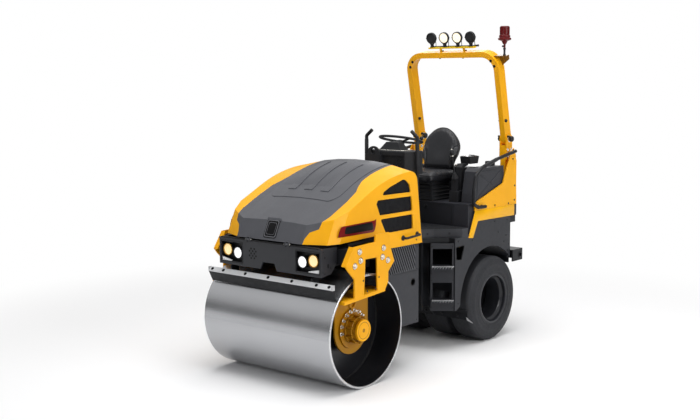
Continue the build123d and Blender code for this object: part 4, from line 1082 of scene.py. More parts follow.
def dress_hood_front():
    nose = hood_front(1178)
    plate = prism(rectangle((-53, 53), (-62, 62), 16), -3, 3.5, nose)
    plate.piece("hood_front_plate", "hood", BADGE, "black_plastic", 1.5, steps=3)
    rim = band(rectangle((-57, 57), (-66, 66), 18), 5.5, -3, 5.5, nose)
    rim.piece("hood_front_plate_rim", "hood", PLATE_RIM, "grey_paint", 1.5, steps=3)
    field = band(rectangle((-40, 40), (-48, 48), 14), 3, 2, 5, nose)
    field.piece("hood_front_plate_line", "hood", PLATE_RIM, "grey_paint", 0.8)
    # A dark ring round the front plate: painted shadow.
    shadow = band(rectangle((-66, 66), (-75, 75), 20), 9, -3, 1.2, nose)
    shadow.piece("hood_front_plate_seat", "hood", SEAM_AND_SHADOW, "black_plastic")
    cover = prism(rectangle((-72, 72), (64, 88), 11), -4, 3, nose)
    cover.piece("hood_latch_cover", "hood", HOOD, "dark_hood", 2.5, steps=3)


def dress_hood_sides():
    plate = [(218, 1149), (206, 1184), (184, 1219), (160, 1224), (-200, 1230)]
    plate += [(-224, 1238), (-221, 1196), (-206, 1156), (-186, 1143), (170, 1146)]
    field = [(150, 1168), (136, 1216), (-176, 1222), (-192, 1172), (-178, 1160), (120, 1162)]
    badges = prism(rounded_corners(field, 14), BODY_Y + 1, BODY_Y + 2.8, SIDE_VIEW)
    reds = prism(plate, BODY_Y - 3, BODY_Y + 2, SIDE_VIEW)
    grip = [(-562, 562, 1053), (-562, 596, 1053), (-747, 596, 1063), (-747, 562, 1063)]
    handles = tube(grip, 9.5, 14, 20)
    for x, _, z in (grip[0], grip[-1]):
        handles.join(lathe([(21, 0), (21, 5), (17, 7.5), (0, 7.5)], (x, BODY_Y, z), LEFT, 24))
    slots = prism(rectangle((-200, 110), (1072, 1089), 8), BODY_Y - 2, BODY_Y + 0.8, SIDE_VIEW)
    badges.mirrored().piece("hood_side_badge_fields", "hood", BADGE, "black_plastic", 0.4)
    reds.mirrored().piece("hood_side_badges", "hood", BADGE_RED, "beacon_red", 0.8)
    handles.mirrored().piece("hood_handles", "hood", PLASTIC, "black_plastic")
    # The slot under the hood is a near-black strip: painted shade of the slit.
    slots.mirrored().piece("hood_side_slots", "hood", BLACK_AND_HOLE_SHADE, "black_plastic")
    heads = side_screws(((-740, 1020), (-300, 1020)), 7)
    heads.piece("hood_side_screws", "hood", DARK_STEEL, "black_paint")


WINDOWS = (
    ((-296, 1409), (-321, 1435), (-396, 1467), (-484, 1491), (-561, 1512), (-600, 1505), (-645, 1470),
     (-666, 1405)),
    ((-247, 1377), (-229, 1350), (-272, 1259), (-686, 1257), (-672, 1373)),
    ((-278, 1229), (-346, 1114), (-694, 1113), (-686, 1229)),
)


def dress_windows():
    """Black seal round the inside of each side window."""
    seals = Shape()
    for outline in WINDOWS:
        seals.join(band(rounded_corners(outline, 14), 7, BODY_Y - 13.5, BODY_Y - 10, SIDE_VIEW))
    seals.mirrored().piece("hood_window_seals", "hood", SEAM_AND_SHADOW, "black_plastic")


LOUVRE_PITCH = 27.5
LOUVRE_RIB = 11.5
LOUVRE_SLANT = 100.0
LOUVRE_REAR = -722.0
LOUVRE_FRONT = -385.0
PANEL_SCREWS = (
    (-750, 965), (-545, 965), (-340, 965), (-750, 785),
    (-565, 785), (-380, 785), (-750, 370), (-520, 370),
)


def keep_side(outline, bound, way):
    """The part of an outline on one side of an upright line."""
    result = []
    for (x, z), (end_x, end_z) in zip(outline, outline[1:] + outline[:1]):
        if way * (x - bound) > 0.01:
            result.append((x, z))
        if (x - bound) * (end_x - bound) < 0:
            part = (bound - x) / (end_x - x)
            result.append((bound, z + (end_z - z) * part))
    return result


def dress_side_panels():
    slots, ribs, seams = shapes(3)
    ring = [(31.6, -9), (31.6, 1), (29, 2), (26, 1), (26, -9)]
    rings = lathe(ring, (-696, BODY_Y, 684), LEFT, 32, closed=False)
    line = [(-768, 773), (-500, 773), (-440, 778), (-395, 800)]
    for (x, z), (end_x, end_z) in zip(line, line[1:]):
        seam = [(x, z - 1.5), (end_x, end_z - 1.5), (end_x, end_z + 1.5), (x, z + 1.5)]
        seams.join(prism(seam, BODY_Y - 1, BODY_Y + 0.5, SIDE_VIEW))
    # The openings between the louvre ribs are a near-black ground: painted shade.
    ground = [(-385, 784), (-722, 796), (-724, 984), (-385, 992)]
    slots.join(prism(ground, BODY_Y - 1, BODY_Y + 0.5, SIDE_VIEW))
    for number in range(17):
        foot = LOUVRE_PITCH * number - 835
        head = foot + LOUVRE_SLANT
        outline = [(foot, 784), (foot + LOUVRE_RIB, 784), (head + LOUVRE_RIB, 990), (head, 990)]
        outline = keep_side(keep_side(outline, LOUVRE_REAR, 1), LOUVRE_FRONT, -1)
        if len(outline) > 2:
            ribs.join(prism(outline, BODY_Y, BODY_Y + 2.6, SIDE_VIEW))
    slots.mirrored().piece("side_louvre_slots", "front", BLACK_AND_HOLE_SHADE, "black_plastic")
    # The ribs are lighter than the panel: painted highlight.
    ribs.mirrored().piece("side_louvre_ribs", "front", LOUVRE_HIGHLIGHT, "grey_paint", 0.8)
    rings.mirrored().piece("side_panel_hole_rings", "front", PLASTIC, "black_plastic")
    heads = side_screws(PANEL_SCREWS, 6)
    heads.piece("side_panel_screws", "front", DARK_STEEL, "black_paint")
    seams.mirrored().piece("side_panel_seams", "front", SEAM_AND_SHADOW, "black_plastic")


# ---------------------------------------------------------------- articulation
def dress_articulation():
    caps = Shape()
    for z, rise, way in ((665, 8, UP), (445, -8, (0, 0, -1))):
        caps.join(lathe([(52, 0), (52, 6), (49, 8), (0, 8)], (PIVOT_X, 0, z), way, 36))
        for x, y in circle(6, 40):
            caps.join(bolt((PIVOT_X + x, y, z + rise), way, 5.5, 1.3, 5))
    caps.piece("pivot_caps", "rear", ZINC, "black_paint")
    bulkhead = Shape()
    for y in (-300, -150, 150, 300):
        bulkhead.join(bolts([(-760, y, 400), (-760, y, 900)], REARWARD, 10))
    bulkhead.piece("rear_bulkhead_bolts", "front", DARK_STEEL, "black_paint")
    front_plate = Shape()
    for y in (-290, 290):
        front_plate.join(bolts([(-1130, y, z) for z in (400, 560, 720, 880)], FORWARD, 10))
    front_plate.piece("rear_frame_bolts", "rear", DARK_STEEL, "black_paint")


# ---------------------------------------------------------------- wheels
# Each tyre wall's place and the way it faces; each ring's radius, half width and height on it.
TYRE_SIDES = ((603, 1), (353, -1), (323, 1), (73, -1))
TYRE_RINGS = ((238, 3.5, 2.4), (268, 1.6, 1.2), (318, 1.6, 1.4), (338, 1.6, 1.2))


def dress_wheels():
    for name, side in (("left", 1), ("right", -1)):
        rings, nuts, lips, wells = shapes(4)
        for y, out in TYRE_SIDES:
            way = (0, side * out, 0)
            place = (AXLE_X, side * y, AXLE_Z)
            for radius, wide, high in TYRE_RINGS:
                rest = 0.0 if radius < 303 else -12 * (radius - 302) / 45
                profile = [(radius - wide, rest - 2), (radius - wide * 0.6, rest + high),
                           (radius + wide * 0.6, rest + high - 0.3), (radius + wide, rest - 3)]
                rings.join(lathe(profile, place, way, 72, closed=False))
            lip = [(201.5, -12), (201.5, -1.5), (204, 0.6), (217, 0.6), (218.8, -1.2), (218.8, -4)]
            lips.join(lathe(lip, (AXLE_X, side * (y - 3 * out), AXLE_Z), way, 72, closed=False))
            well = [(200.6, -34), (190, -50), (182, -56), (181, -62), (181, -128), (200.6, -140)]
            wells.join(lathe(well, place, way, 72, closed=False))
        for y in (349, 327):
            way = (0, side if y > 338 else -side, 0)
            for x, z in circle(8, 122):
                nuts.join(bolt((AXLE_X + x, side * y, AXLE_Z + z), way, 15, 1.3, 14, AXLE_X + x))
        hub = [(78, -2), (78, 4), (72, 9), (40, 12), (38, 20), (30, 24), (0, 24)]
        nuts.join(lathe(hub, (AXLE_X, side * 390, AXLE_Z), (0, side, 0), 40))
        ring = [(150, 0), (154, 3), (158, 3), (162, 0)]
        lips.join(lathe(ring, (AXLE_X, side * 349, AXLE_Z), (0, side, 0), 64, closed=False))
        valve = [(AXLE_X + 172, side * 349, AXLE_Z), (AXLE_X + 172, side * 400, AXLE_Z)]
        nuts.join(tube(valve, 5, 10, 0))
        nuts.join(tube([(AXLE_X + 172, side * 395, AXLE_Z), (AXLE_X + 172, side * 412, AXLE_Z)], 7, 10, 0))
        body = "wheels_" + name
        rings.piece("tyre_rings_" + name, body, RUBBER, "tyre_rubber")
        nuts.piece("wheel_nuts_" + name, body, DARK_STEEL, "rim_paint", 0.8)
        # Lips are a lighter rim paint: painted highlight.
        lips.piece("rim_lips_" + name, body, RIM_LIP_HIGHLIGHT, "rim_paint", sharp=60)
        wells.piece("rim_wells_" + name, body, RIM, "rim_paint", sharp=30)


def dress_wheel_scrapers():
    lip = block((-1458, -1451), (-583, 583), (298, 322))
    lip.piece("wheel_scraper_lips", "rear", PLASTIC, "black_plastic", 1.5)
    tips, heads = shapes(2)
    for side in (-1, 1):
        tip = [(side * 572, 266), (side * 584, 238), (side * 642, 223)]
        tips.join(prism(tip, -1446, -1441, front_view()))
        heads.join(bolts([(-1446, side * y, 270) for y in (150, 320, 480)], FORWARD, 9))
    tips.piece("wheel_scraper_tips", "rear", TREAD, "scraper_steel", 0.8)
    heads.piece("wheel_scraper_bolts", "rear", DARK_STEEL, "black_paint")


# ---------------------------------------------------------------- fenders, steps and floor
FENDER_SCREWS = (
    (-1906, 1041), (-1964, 939), (-2096, 896), (-2060, 844), (-2145, 812), (-1553, 916),
    (-2110, 1035), (-2120, 700), (-2120, 760), (-1340, 930), (-1340, 400),
)


def dress_fenders():
    outline = [(-1583, 1162), (-2224, 1162), (-2224, 1063), (-1632, 1072), (-1557, 934), (-1487, 942)]
    stripe = prism(outline, BODY_Y - 1, BODY_Y + 1.6, SIDE_VIEW)
    hole = rounded_corners([(-1300, 885), (-1430, 888), (-1384, 765), (-1308, 775)], 12)
    seams = band(hole, 4, BODY_Y - 8, BODY_Y + 1.2, SIDE_VIEW)
    stripe.mirrored().piece("fender_stripes", "rear", STRIPE, "yellow_paint", 0.6)
    side_screws(FENDER_SCREWS, 8).piece("fender_screws", "rear", DARK_STEEL, "black_paint")
    seams.mirrored().piece("fender_hole_edges", "rear", SEAM_AND_SHADOW, "black_plastic")


STEP_CORNER = (-1160.0, 400.0, 0.0)
STEP_LENGTH = 206.0
STEP_TREADS = (437, 724)


def step_view(out=0.0):
    """Matrix of the left step's face: x along it outwards, y up, z away from the machine."""
    run = Vector((-130, 160, 0)).normalized()
    way = Vector((run.y, -run.x, 0))
    origin = Vector(STEP_CORNER) + way * out
    return Matrix.Translation(origin) @ Matrix((run, (0, 0, 1), way)).transposed().to_4x4()


def dress_steps():
    teeth, studs, heads = shapes(3)
    face = step_view()
    face_way = face.to_3x3() @ Vector(UP)
    stud = [(6, -1), (6, 2), (4.4, 4.5), (3, 4.5), (2.4, 1)]
    for low in STEP_TREADS:
        for out, shift in ((37, 0.0), (18, 0.5)):
            for number in range(8):
                x = 4 + 23.5 * (number + shift)
                tooth = [(x, low - 13), (x + 7, low - 13), (x + 15, low + 5), (x + 12, low + 8)]
                tooth.append((x + 8, low + 3))
                teeth.join(prism(tooth, out, out + 3, face))
        for out, start in ((7, 18), (27, 26)):
            for number in range(9):
                place = step_view(out) @ Vector((start + number * 20, low, 0))
                studs.join(lathe(stud, place, UP, 12, closed=False))
        for x in (10, STEP_LENGTH - 22):
            for z in (low - 60, low + 172):
                heads.join(screw(face @ Vector((x, z, 0)), face_way, 6))
    teeth.mirrored().piece("step_teeth", "rear", TREAD, "scraper_steel")
    studs.mirrored().piece("step_studs", "rear", TREAD, "scraper_steel")
    heads.mirrored().piece("step_screws", "rear", DARK_STEEL, "black_paint")


def dress_floor():
    half = [(-1136, 318), (-1250, 372), (-1402, 544), (-1470, 544)]
    outline = [(-1136, -318)] + half + [(-1470, -544), (-1402, -544), (-1250, -372)]
    mat = prism(outline, 1029, 1033, TOP_VIEW)
    for number in range(-21, 22):
        y = number * 25.0
        front = -1146 - max(0.0, abs(y) - 310) * 1.1
        mat.join(block((-1462, front), (y - 5, y + 5), (1032, 1036)))
    mat.piece("floor_mat", "rear", PLASTIC, "black_plastic", 0.8)
    heads = screws([(-1120, y, 995) for y in (-250, -80, 80, 250)], FORWARD, 8)
    heads.join(screws([(-1180, 352, 995), (-1320, 480, 995)], (0.7, 0.7, 0), 8))
    heads.piece("floor_screws", "rear", DARK_STEEL, "black_paint")


# ---------------------------------------------------------------- seat box, tank and rear
def dress_seat_box():
    latch = Shape()
    seams = band(rectangle((-1900, -1520), (985, 1205), 14), 3, 544, 545.6, SIDE_VIEW).mirrored()
    seams.join(band(rectangle((-390, 390), (1050, 1210), 14), 3, -1.6, 1.5, front_view(-1480)))
    for y in (-120, 120):
        latch.join(lathe([(17, 0), (17, 4), (13, 6), (0, 6)], (-1480, y, 1185), FORWARD, 24))
        latch.join(block((-1475, -1471), (y - 3, y + 3), (1175, 1195)))
    seams.piece("seat_box_seams", "rear", SEAM_AND_SHADOW, "black_plastic")
    latch.piece("seat_box_latches", "rear", DARK_STEEL, "black_plastic", 0.8)


TANK_SIDE = 544.0
CAP_X = -1986.0
CAP_Y = 450.0


def dress_tank():
    caps = Shape()
    corners = ((-1628, 1250), (-1652, 1486), (-2040, 1500), (-2078, 1262))
    ribs = band(rounded_corners(corners, 30), 13, TANK_SIDE, TANK_SIDE + 5, SIDE_VIEW)
    for start, end in (((-1640, 1262), (-2030, 1490)), ((-1660, 1476), (-2066, 1276))):
        start, end = Vector(start), Vector(end)
        run = (end - start).normalized()
        across = Vector((-run.y, run.x)) * 6
        outline = [start - across, end - across, end + across, start + across]
        ribs.join(prism([tuple(point) for point in outline], TANK_SIDE, TANK_SIDE + 4, SIDE_VIEW))
    middle = (CAP_X, CAP_Y, 0)
    caps.join(lathe([(44, 1518), (44, 1524), (41, 1526)], middle, UP, 36, closed=False))
    for turn in around(18, CAP_X, CAP_Y):
        caps.join(block((37.5, 43.5), (-3, 3), (1526, 1554)), turn)
    caps.join(lathe([(40.5, 1552), (40.5, 1557), (37, 1558), (0, 1558)], middle, UP, 36))
    ribs.mirrored().piece("tank_ribs", "rear", TANK, "tank_plastic", 2.0, steps=3)
    caps.mirrored().piece("tank_cap_grips", "rear", PLASTIC, "black_plastic", 0.6)
    straps = Shape()
    for x in (-1730, -1930):
        straps.join(block((x - 14, x + 14), (412, 548), (1519.5, 1523)))
        straps.join(block((x - 14, x + 14), (412, 416), (1230, 1523)))
    straps.mirrored().piece("tank_straps", "rear", DARK_STEEL, "black_paint", 0.8)


BRACKET_SCREWS = ((-2191, 1570), (-2126, 1178), (-1635, 1203), (-2226, 1330), (-2226, 1200), (-1900, 1182))


def dress_rear_brackets():
    side_screws(BRACKET_SCREWS, 9).piece("rear_bracket_screws", "rear", DARK_STEEL, "black_paint")
    clamps = Shape()
    for x, z in ((-2195, 1637), (-1680, 1190)):
        clamps.join(lathe([(19, 0), (19, 4), (13, 7), (10.5, 7)], (x, BODY_Y, z), LEFT, 24, closed=False))
    clamps.mirrored().piece("handrail_feet", "rear", BLACK, "black_paint")


def dress_rear():
    """Tail lamps, reflectors, service cover and bolts on the machine's back."""
    red, amber = shapes(2)
    back = frame_of((-2273, 0, 0), REARWARD) @ FLIPPED
    for low, high, shape in ((430, 478, amber), (480, 528, red)):
        shape.join(prism(rectangle((low, high), (1058, 1108), 8), 0, 9, back))
    lamps = block((-2275, -2261), (424, 534), (1052, 1114))
    lamps.mirrored().piece("tail_lamp_bodies", "rear", PLASTIC, "black_plastic", 3.0, steps=3)
    red.mirrored().piece("tail_lenses", "rear", RED_LENS, "beacon_red", 2.0)
    amber.mirrored().piece("turn_lenses", "rear", AMBER_LENS, "lamp_lens", 2.0)
    wall = frame_of((-2163, 0, 0), REARWARD)
    cover = band(rectangle((-330, 330), (830, 940), 16), 3.5, -1, 1.6, wall)
    cover.piece("rear_cover_seam", "rear", SEAM_AND_SHADOW, "black_plastic")
    heads = Shape()
    for y in (-300, -100, 100, 300):
        heads.join(bolts([(-2163, y, 850), (-2163, y, 925)], REARWARD, 8))
    for y in (-480, -240, 0, 240, 480):
        heads.join(bolt((-2262, y, 1020), REARWARD, 9))
    for y in (-540, -430, -150, 150, 430, 540):
        heads.join(bolt((-2318, y, 730), FORWARD, 9))
    heads.piece("rear_bolts", "rear", DARK_STEEL, "black_paint")
    reflectors = Shape()
    for y in (-380, 380):
        reflectors.join(lathe([(26, 0), (26, 4), (22, 5.5), (0, 5.5)], (-2262, y, 1083), REARWARD, 32))
    # The reflectors wear the tail lens's faint glow: a painted glow, as they are no lamps.
    reflectors.piece("rear_reflectors", "rear", RED_LENS, "beacon_red", 0.8)
    pads = Shape()
    ring = [(30, 0), (30, 3), (27, 5), (21, 5), (21, 0)]
    for side in (-1, 1):
        pads.join(lathe(ring, (-2285, side * 590, 700), (0, side, 0), 32, closed=False))
    pads.piece("tie_down_rings", "rear", DARK_STEEL, "black_paint")


def dress_handrails():
    rail_y = BODY_Y + 19
    sleeves = tube([(-1886, rail_y, 1585), (-1690, rail_y, 1537)], 17.2, 20, 0)
    sleeves.mirrored().piece("handrail_grips", "rear", PLASTIC, "black_plastic", 1.2)
    x, y = -1145, 270
    feet = lathe([(30, 0), (30, 5), (27, 8), (17, 8)], (x, y, 1030), UP, 28, closed=False)
    for across, along in circle(3, 23, 0.5):
        feet.join(bolt((x + across, y + along, 1037), UP, 5, 1.2, 4))
    grips = tube([(x, y, 1560), (x, y, 1770)], 16.8, 20, 0)
    feet.mirrored().piece("grab_handle_feet", "rear", DARK_STEEL, "black_paint")
    grips.mirrored().piece("grab_handle_sleeves", "rear", PLASTIC, "black_plastic", 1.0)


# ---------------------------------------------------------------- seat
CUSHION_MIDDLE = Vector((-1650, 0, 1435))
BACK_FOOT = Vector((-1800, 0, 1470))
BACK_TURN = Matrix.Rotation(-SEAT_LEAN, 3, "Y")
# The back's half height and half width, where its round top starts and how high that is.
BACK_HALF = 192.0
BACK_BEND = 190.0
BACK_CROWN = 205.0
BACK_LOWEST = 1481.2


def bump_at(value, middle, width):
    """Smooth hump of height 1 round a middle."""
    return exp(-((value - middle) / width) ** 2)


def past(value, limit, width):
    """Smooth step from 0 before a limit to 1 past it; a width below 0 turns it round."""
    return 1 / (1 + exp(-(value - limit) / width))


def cushion_place(place):
    """Cushion: raised thighs at the sides, a dip in the middle and a rolled front."""
    x, y, z = place
    if z > 0:
        side = bump_at(abs(y), 165, 34)
        z += (7 * side - 5 * bump_at(y, 0, 90)) * (0.35 + 0.65 * past(x, -90, 20))
        z -= 22 * past(x, 150, 14) ** 2
        z -= 5 * past(x, -105, -8)
    y *= 1 - 0.05 * past(x, -110, -30) - 0.035 * (x / 210) ** 2
    y *= 1 - 0.02 * (z / 45) ** 2
    return CUSHION_MIDDLE + Vector((x, y, z))


def back_half_width(height):
    """Half the seat back's width at a height along its lean."""
    lower = 150 + 46 * past(height, 120, 28)
    fall = max(0.0, height - BACK_BEND) / BACK_CROWN
    return lower * (1 - 0.24 * min(1.0, fall) ** 2)


def back_place(place):
    """Seat back: waisted, round at the top, with bolsters beside the hips."""
    u, v, w = place
    height = v * 1.035 + 200
    aside = abs(u) / BACK_HALF
    u *= back_half_width(height) / 196
    height -= 74 * aside ** 2.2 * max(0.0, (height - BACK_BEND) / BACK_CROWN) ** 1.3
    w *= 1 - 0.32 * max(0.0, (height - 200) / 190) ** 2
    if w > 0:
        w += 26 * bump_at(abs(u), 158, 27) * past(height, 205, -20)
        w += 7 * bump_at(abs(u), 168, 30)
        w -= 6 * bump_at(u, 0, 75) * bump_at(height, 175, 130)
        w += 6 * bump_at(height, 95, 60) * bump_at(u, 0, 90)
    w += 12 * (height / 390) ** 2 - 49
    spot = BACK_FOOT + BACK_TURN @ Vector((w, u, height))
    spot.z = max(spot.z, BACK_LOWEST)
    return spot


def seam_tube(thing, line, way, radius, lift):
    """Piping that lies on a soft piece below or behind a line of places."""
    return piping_along([surface(thing, place, way) for place in line], radius, lift)


def piping_along(found, radius, lift):
    """Piping through the places found on a soft piece, lifted off it."""
    return tube([spot + normal * lift for spot, normal in found if spot is not None], radius, 8, 0)


def spread_line(points):
    """Points at steps of about 12 mm along a line of corners."""
    result = []
    for start, end in zip(points, points[1:]):
        count = max(1, round((end - start).length / 12))
        result += [start.lerp(end, number / count) for number in range(count)]
    result.append(points[-1])
    return result


CUSHION_SEAM = ((-92, -136), (118, -136), (150, -100), (150, 100), (118, 136), (-92, 136))
BACK_SEAM = ((128, 12), (124, 120), (132, 168), (156, 206), (196, 242))


def make_cushion():
    thing = padded_form("seat_cushion_cover", (203, 202, 40), 24, 18, cushion_place)
    stuff(thing, 5.0, 9.0)

    def depth(place):
        if place.z < 1446:
            fold = sin(place.y * 0.11 + 1.5 * sin(place.y * 0.031)) * bump_at(place.z, 1418, 16)
            return 2.6 * fold * past(place.x, -1500, 12) - 3 * bump_at(place.z, 1443, 4)
        ring = to_line((place.x - CUSHION_MIDDLE.x, place.y), CUSHION_SEAM, closed=True)
        return -5.5 * bump_at(ring, 0, 7)

    press(thing, depth)
    settle(thing, "rear", VINYL, "seat_cushion")
    line = [(x + CUSHION_MIDDLE.x, y, 1600) for x, y in CUSHION_SEAM]
    piping = seam_tube(thing, spread_line(rounded(line + line[:1], 20)), (0, 0, -1), 2.3, 0.6)
    rim = []
    for x, y in circle(72, 1) + circle(1, 1):
        out = Vector((x, y, 0))
        rim.append(surface(thing, Vector((CUSHION_MIDDLE.x, 0, 1449)) + out * 400, -out))
    piping.join(piping_along(rim, 2.6, 0.5))
    piping.piece("seat_cushion_piping", "rear", PLASTIC, "seat_vinyl")


def make_seat_back():
    thing = padded_form("seat_back_cover", (BACK_HALF, BACK_HALF, 34), 26, 20, back_place)
    stuff(thing, 5.5, 8.0)
    to_lean = BACK_TURN.inverted()

    def depth(place):
        local = to_lean @ (place - BACK_FOOT)
        if local.x < -42:
            return 0.0
        return -7.0 * bump_at(to_line((abs(local.y), local.z), BACK_SEAM), 0, 6.5)

    press(thing, depth)
    settle(thing, "rear", VINYL, "seat_back")

    def outside(u, height, away):
        return BACK_FOOT + BACK_TURN @ Vector((away, u, height))

    piping = Shape()
    for side in (-1, 1):
        line = [outside(side * u, height, 300) for u, height in BACK_SEAM[:-1]]
        way = -(BACK_TURN @ Vector(FORWARD))
        piping.join(seam_tube(thing, spread_line(rounded(line, 24)), way, 2.2, 1.4))
    edge = []
    for number in range(61):
        angle = -0.25 * pi + 1.5 * pi * number / 60
        out = BACK_TURN @ Vector((0, cos(angle), sin(angle)))
        edge.append(surface(thing, outside(0, 200, -30) + out * 420, -out))
    piping.join(piping_along(edge, 3.0, 0.5))
    piping.piece("seat_back_piping", "rear", PLASTIC, "seat_vinyl")


def bellows_fold(outline, low, middle, high, depth):
    """One fold of the bellows: its outline at low and high, pushed out by depth between."""
    fold = Shape()
    for grow, height in ((0, low), (depth, middle), (0, high)):
        for x, y in outline:
            out_x = grow if x > -1660 else -grow
            out_y = grow if y > 0 else -grow
            fold.points.append(Vector((x + out_x, y + out_y, height)))
    count = len(outline)
    for level in (0, count):
        for i in range(count):
            j = (i + 1) % count
            fold.faces.append((level + i, level + j, level + count + j, level + count + i))
    return fold


def dress_seat():
    """Bellows, hinge covers, slide rails and belt parts round the padding."""
    bellows = Shape()
    for number in range(5):
        z = 1240 + number * 30
        inset = number * 3
        outline = rectangle((-1802 + inset, -1518 - inset), (-158 + inset, 158 - inset), 40)
        bellows.join(bellows_fold(outline, z - 9, z, z + 9, 12))
    bellows.piece("seat_bellows", "rear", PLASTIC, "black_plastic", sharp=50)
    cover = [(-1870, 1410), (-1870, 1500), (-1842, 1524), (-1800, 1520), (-1770, 1462), (-1770, 1410)]
    parts = Shape()
    for side in (-1, 1):
        low, high = sorted((side * 203, side * 214))
        parts.join(prism(rounded_corners(cover, 16), low, high, SIDE_VIEW))
        parts.join(lathe([(17, 0), (17, 7), (12, 10), (0, 10)], (-1826, side * 212, 1478), (0, side, 0), 24))
        parts.join(block((-1840, -1490), sorted((side * 120, side * 142)), (1378, 1392)))
    parts.piece("seat_hinge_covers", "rear", PLASTIC, "black_plastic", 2.0, steps=3)
    stalks, buckles, tongues = shapes(3)
    turn = Matrix.Translation((-1788, 0, 1490)) @ Matrix.Rotation(radians(10), 4, "Y")
    for side in (-1, 1):
        stalks.join(tube([(-1800, side * 222, 1420), (-1792, side * 226, 1470)], 7, 10, 0))
        low, high = sorted((side * 216, side * 236))
        buckles.join(block((-16, 16), (low, high), (-26, 26)), turn)
        tongues.join(block((-10, 10), (low + 6, high - 6), (26, 42)), turn)
    stalks.piece("seat_belt_stalks", "rear", DARK_STEEL, "black_paint")
    buckles.piece("seat_belt_buckles", "rear", PLASTIC, "black_plastic", 3.0, steps=3)
    tongues.piece("seat_belt_tongues", "rear", ZINC, "drum_steel", 1.0)


# ---------------------------------------------------------------- controls
LEVER_LEAN = radians(13.0)
DASH_FRONT = -1099.0
WHEEL_LEAN = radians(12)


def dress_console():
    way = Vector((sin(LEVER_LEAN), 0, cos(LEVER_LEAN)))
    foot = Vector((-1600, 342.5, 1430))
    profile = [(30, -4), (30, 3)]
    for number in range(6):
        base = 3 + number * 8
        narrow = number * 3.1
        profile += [(27 - narrow, base + 1), (29 - narrow, base + 4), (24 - narrow, base + 7)]
    profile.append((8.5, 54))
    boot = lathe(profile, foot, way, 28, closed=False)
    boot.piece("lever_boot", "rear", PLASTIC, "black_plastic", sharp=60)
    knob = foot + way * 235
    profile = [(8.5, -46), (13, -40), (14, -22), (21, -8), (22.4, 4), (19, 15), (11, 22), (0, 24)]
    grip = lathe(profile, knob, way, 32)
    grip.piece("lever_grip", "rear", PLASTIC, "black_plastic", sharp=60)
    collar = lathe([(14.5, -37), (15.2, -35), (15.2, -31), (14.5, -29)], knob, way, 28, closed=False)
    collar.join(lathe([(7, 22.5), (7, 25.5), (5.5, 26.5), (0, 26.5)], knob, way, 20))
    collar.piece("lever_collar", "rear", ZINC, "drum_steel")
    profile = [(34, -2), (34, 2), (31, 4.5), (25, 4.5), (23, 2), (10, 2), (8, 4), (0, 4)]
    disc = lathe(profile, (-1785, 345, 1608), UP, 40)
    disc.piece("arm_box_disc", "rear", CHROME, "drum_steel", 0.4)
    lid = prism(rectangle((-1884, -1738), (302, 398), 12), 1606, 1611, TOP_VIEW)
    lid.join(band(rectangle((-1872, -1826), (312, 388), 8), 4, 1610, 1613, TOP_VIEW))
    for y in (330, 350, 370):
        lid.join(lathe([(6, 1610), (6, 1617), (4, 1619), (0, 1619)], (-1849, y, 0), UP, 14))
    lid.piece("arm_box_lid", "rear", PLASTIC, "black_plastic", 1.5, steps=3)
    seams = band(rectangle((-1706, -1590), (1240, 1306), 8), 2.5, 384, 386.2, SIDE_VIEW)
    seams.join(screws([(x, 385, z) for z in (1246, 1300) for x in (-1700, -1596)], LEFT, 4.5))
    seams.piece("console_cover_seam", "rear", SEAM_AND_SHADOW, "black_plastic")


def dress_dash():
    panel, keys, bright = shapes(3)
    back = frame_of((-1265, 0, 0), REARWARD) @ FLIPPED
    panel.join(prism(rectangle((-210, 210), (1520, 1662), 14), 0, 4, back))
    panel.join(band(rectangle((-70, 70), (1562, 1652), 10), 7, 3, 9, back))
    glass = prism(rectangle((-64, 64), (1568, 1646), 6), 3.5, 6, back)
    for number in range(4):
        for side in (-1, 1):
            y = side * (98 + number % 2 * 46)
            z = 1610 if number < 2 else 1560
            keys.join(prism(rectangle((y - 16, y + 16), (z - 18, z + 18), 4), 3, 8, back))
            keys.join(prism(rectangle((y - 12, y + 12), (z - 2, z + 14), 3), 7, 11, back))
    for y in (-180, 180):
        knob = [(15, 0), (15, 6), (12, 9), (6, 9), (5, 6), (0, 6)]
        bright.join(lathe(knob, (-1268, y, 1542), REARWARD, 28))
    front = front_view(DASH_FRONT)
    panel.join(band(rectangle((-50, 168), (1526, 1638), 8), 4, 0, 4, front))
    keys.join(prism(rectangle((-36, 70), (1540, 1624), 6), 0, 2.5, front))
    for y in (96, 128):
        for z in (1556, 1582, 1608):
            bright.join(lathe([(7, 0), (7, 4), (5, 6), (0, 6)], (DASH_FRONT, y, z), FORWARD, 18))
    hole = [(27, -1), (27, 15.5), (25, 16.8), (23.4, 15.5), (23.4, -1)]
    panel.join(lathe(hole, (-1086, -140, 1676), FORWARD, 32, closed=False))
    panel.piece("dash_panels", "rear", PLASTIC, "black_plastic", 1.0)
    keys.piece("dash_keys", "rear", SEAM_AND_SHADOW, "black_plastic", 1.0)
    glass.piece("dash_display", "rear", GLASS, "black_plastic", 0.6)
    bright.piece("dash_knobs", "rear", DARK_STEEL, "drum_steel", 0.5)
    heads = screws([(-1268.5, y, z) for z in (1530, 1652) for y in (-200, 200)], REARWARD, 5)
    heads.piece("dash_screws", "rear", DARK_STEEL, "black_paint")
    left = [(-1233, -150, 1686), (-1118, -150, 1686), (-1105, -120, 1686)]
    trim = tube(left + [(x, -y, z) for x, y, z in reversed(left)], 4, 10, 12)
    trim.piece("dash_cowl_trim", "rear", ZINC, "grey_paint")
    ribs = Shape()
    for number in range(7):
        z = 1120 + number * 52
        front = -1129.5 + (z - 1030) * 10 / 470
        ribs.join(block((front - 3, front + 2.5), (-128, 128), (z - 4, z + 4)))
    ribs.piece("dash_column_ribs", "rear", PLASTIC, "black_plastic", 1.2)


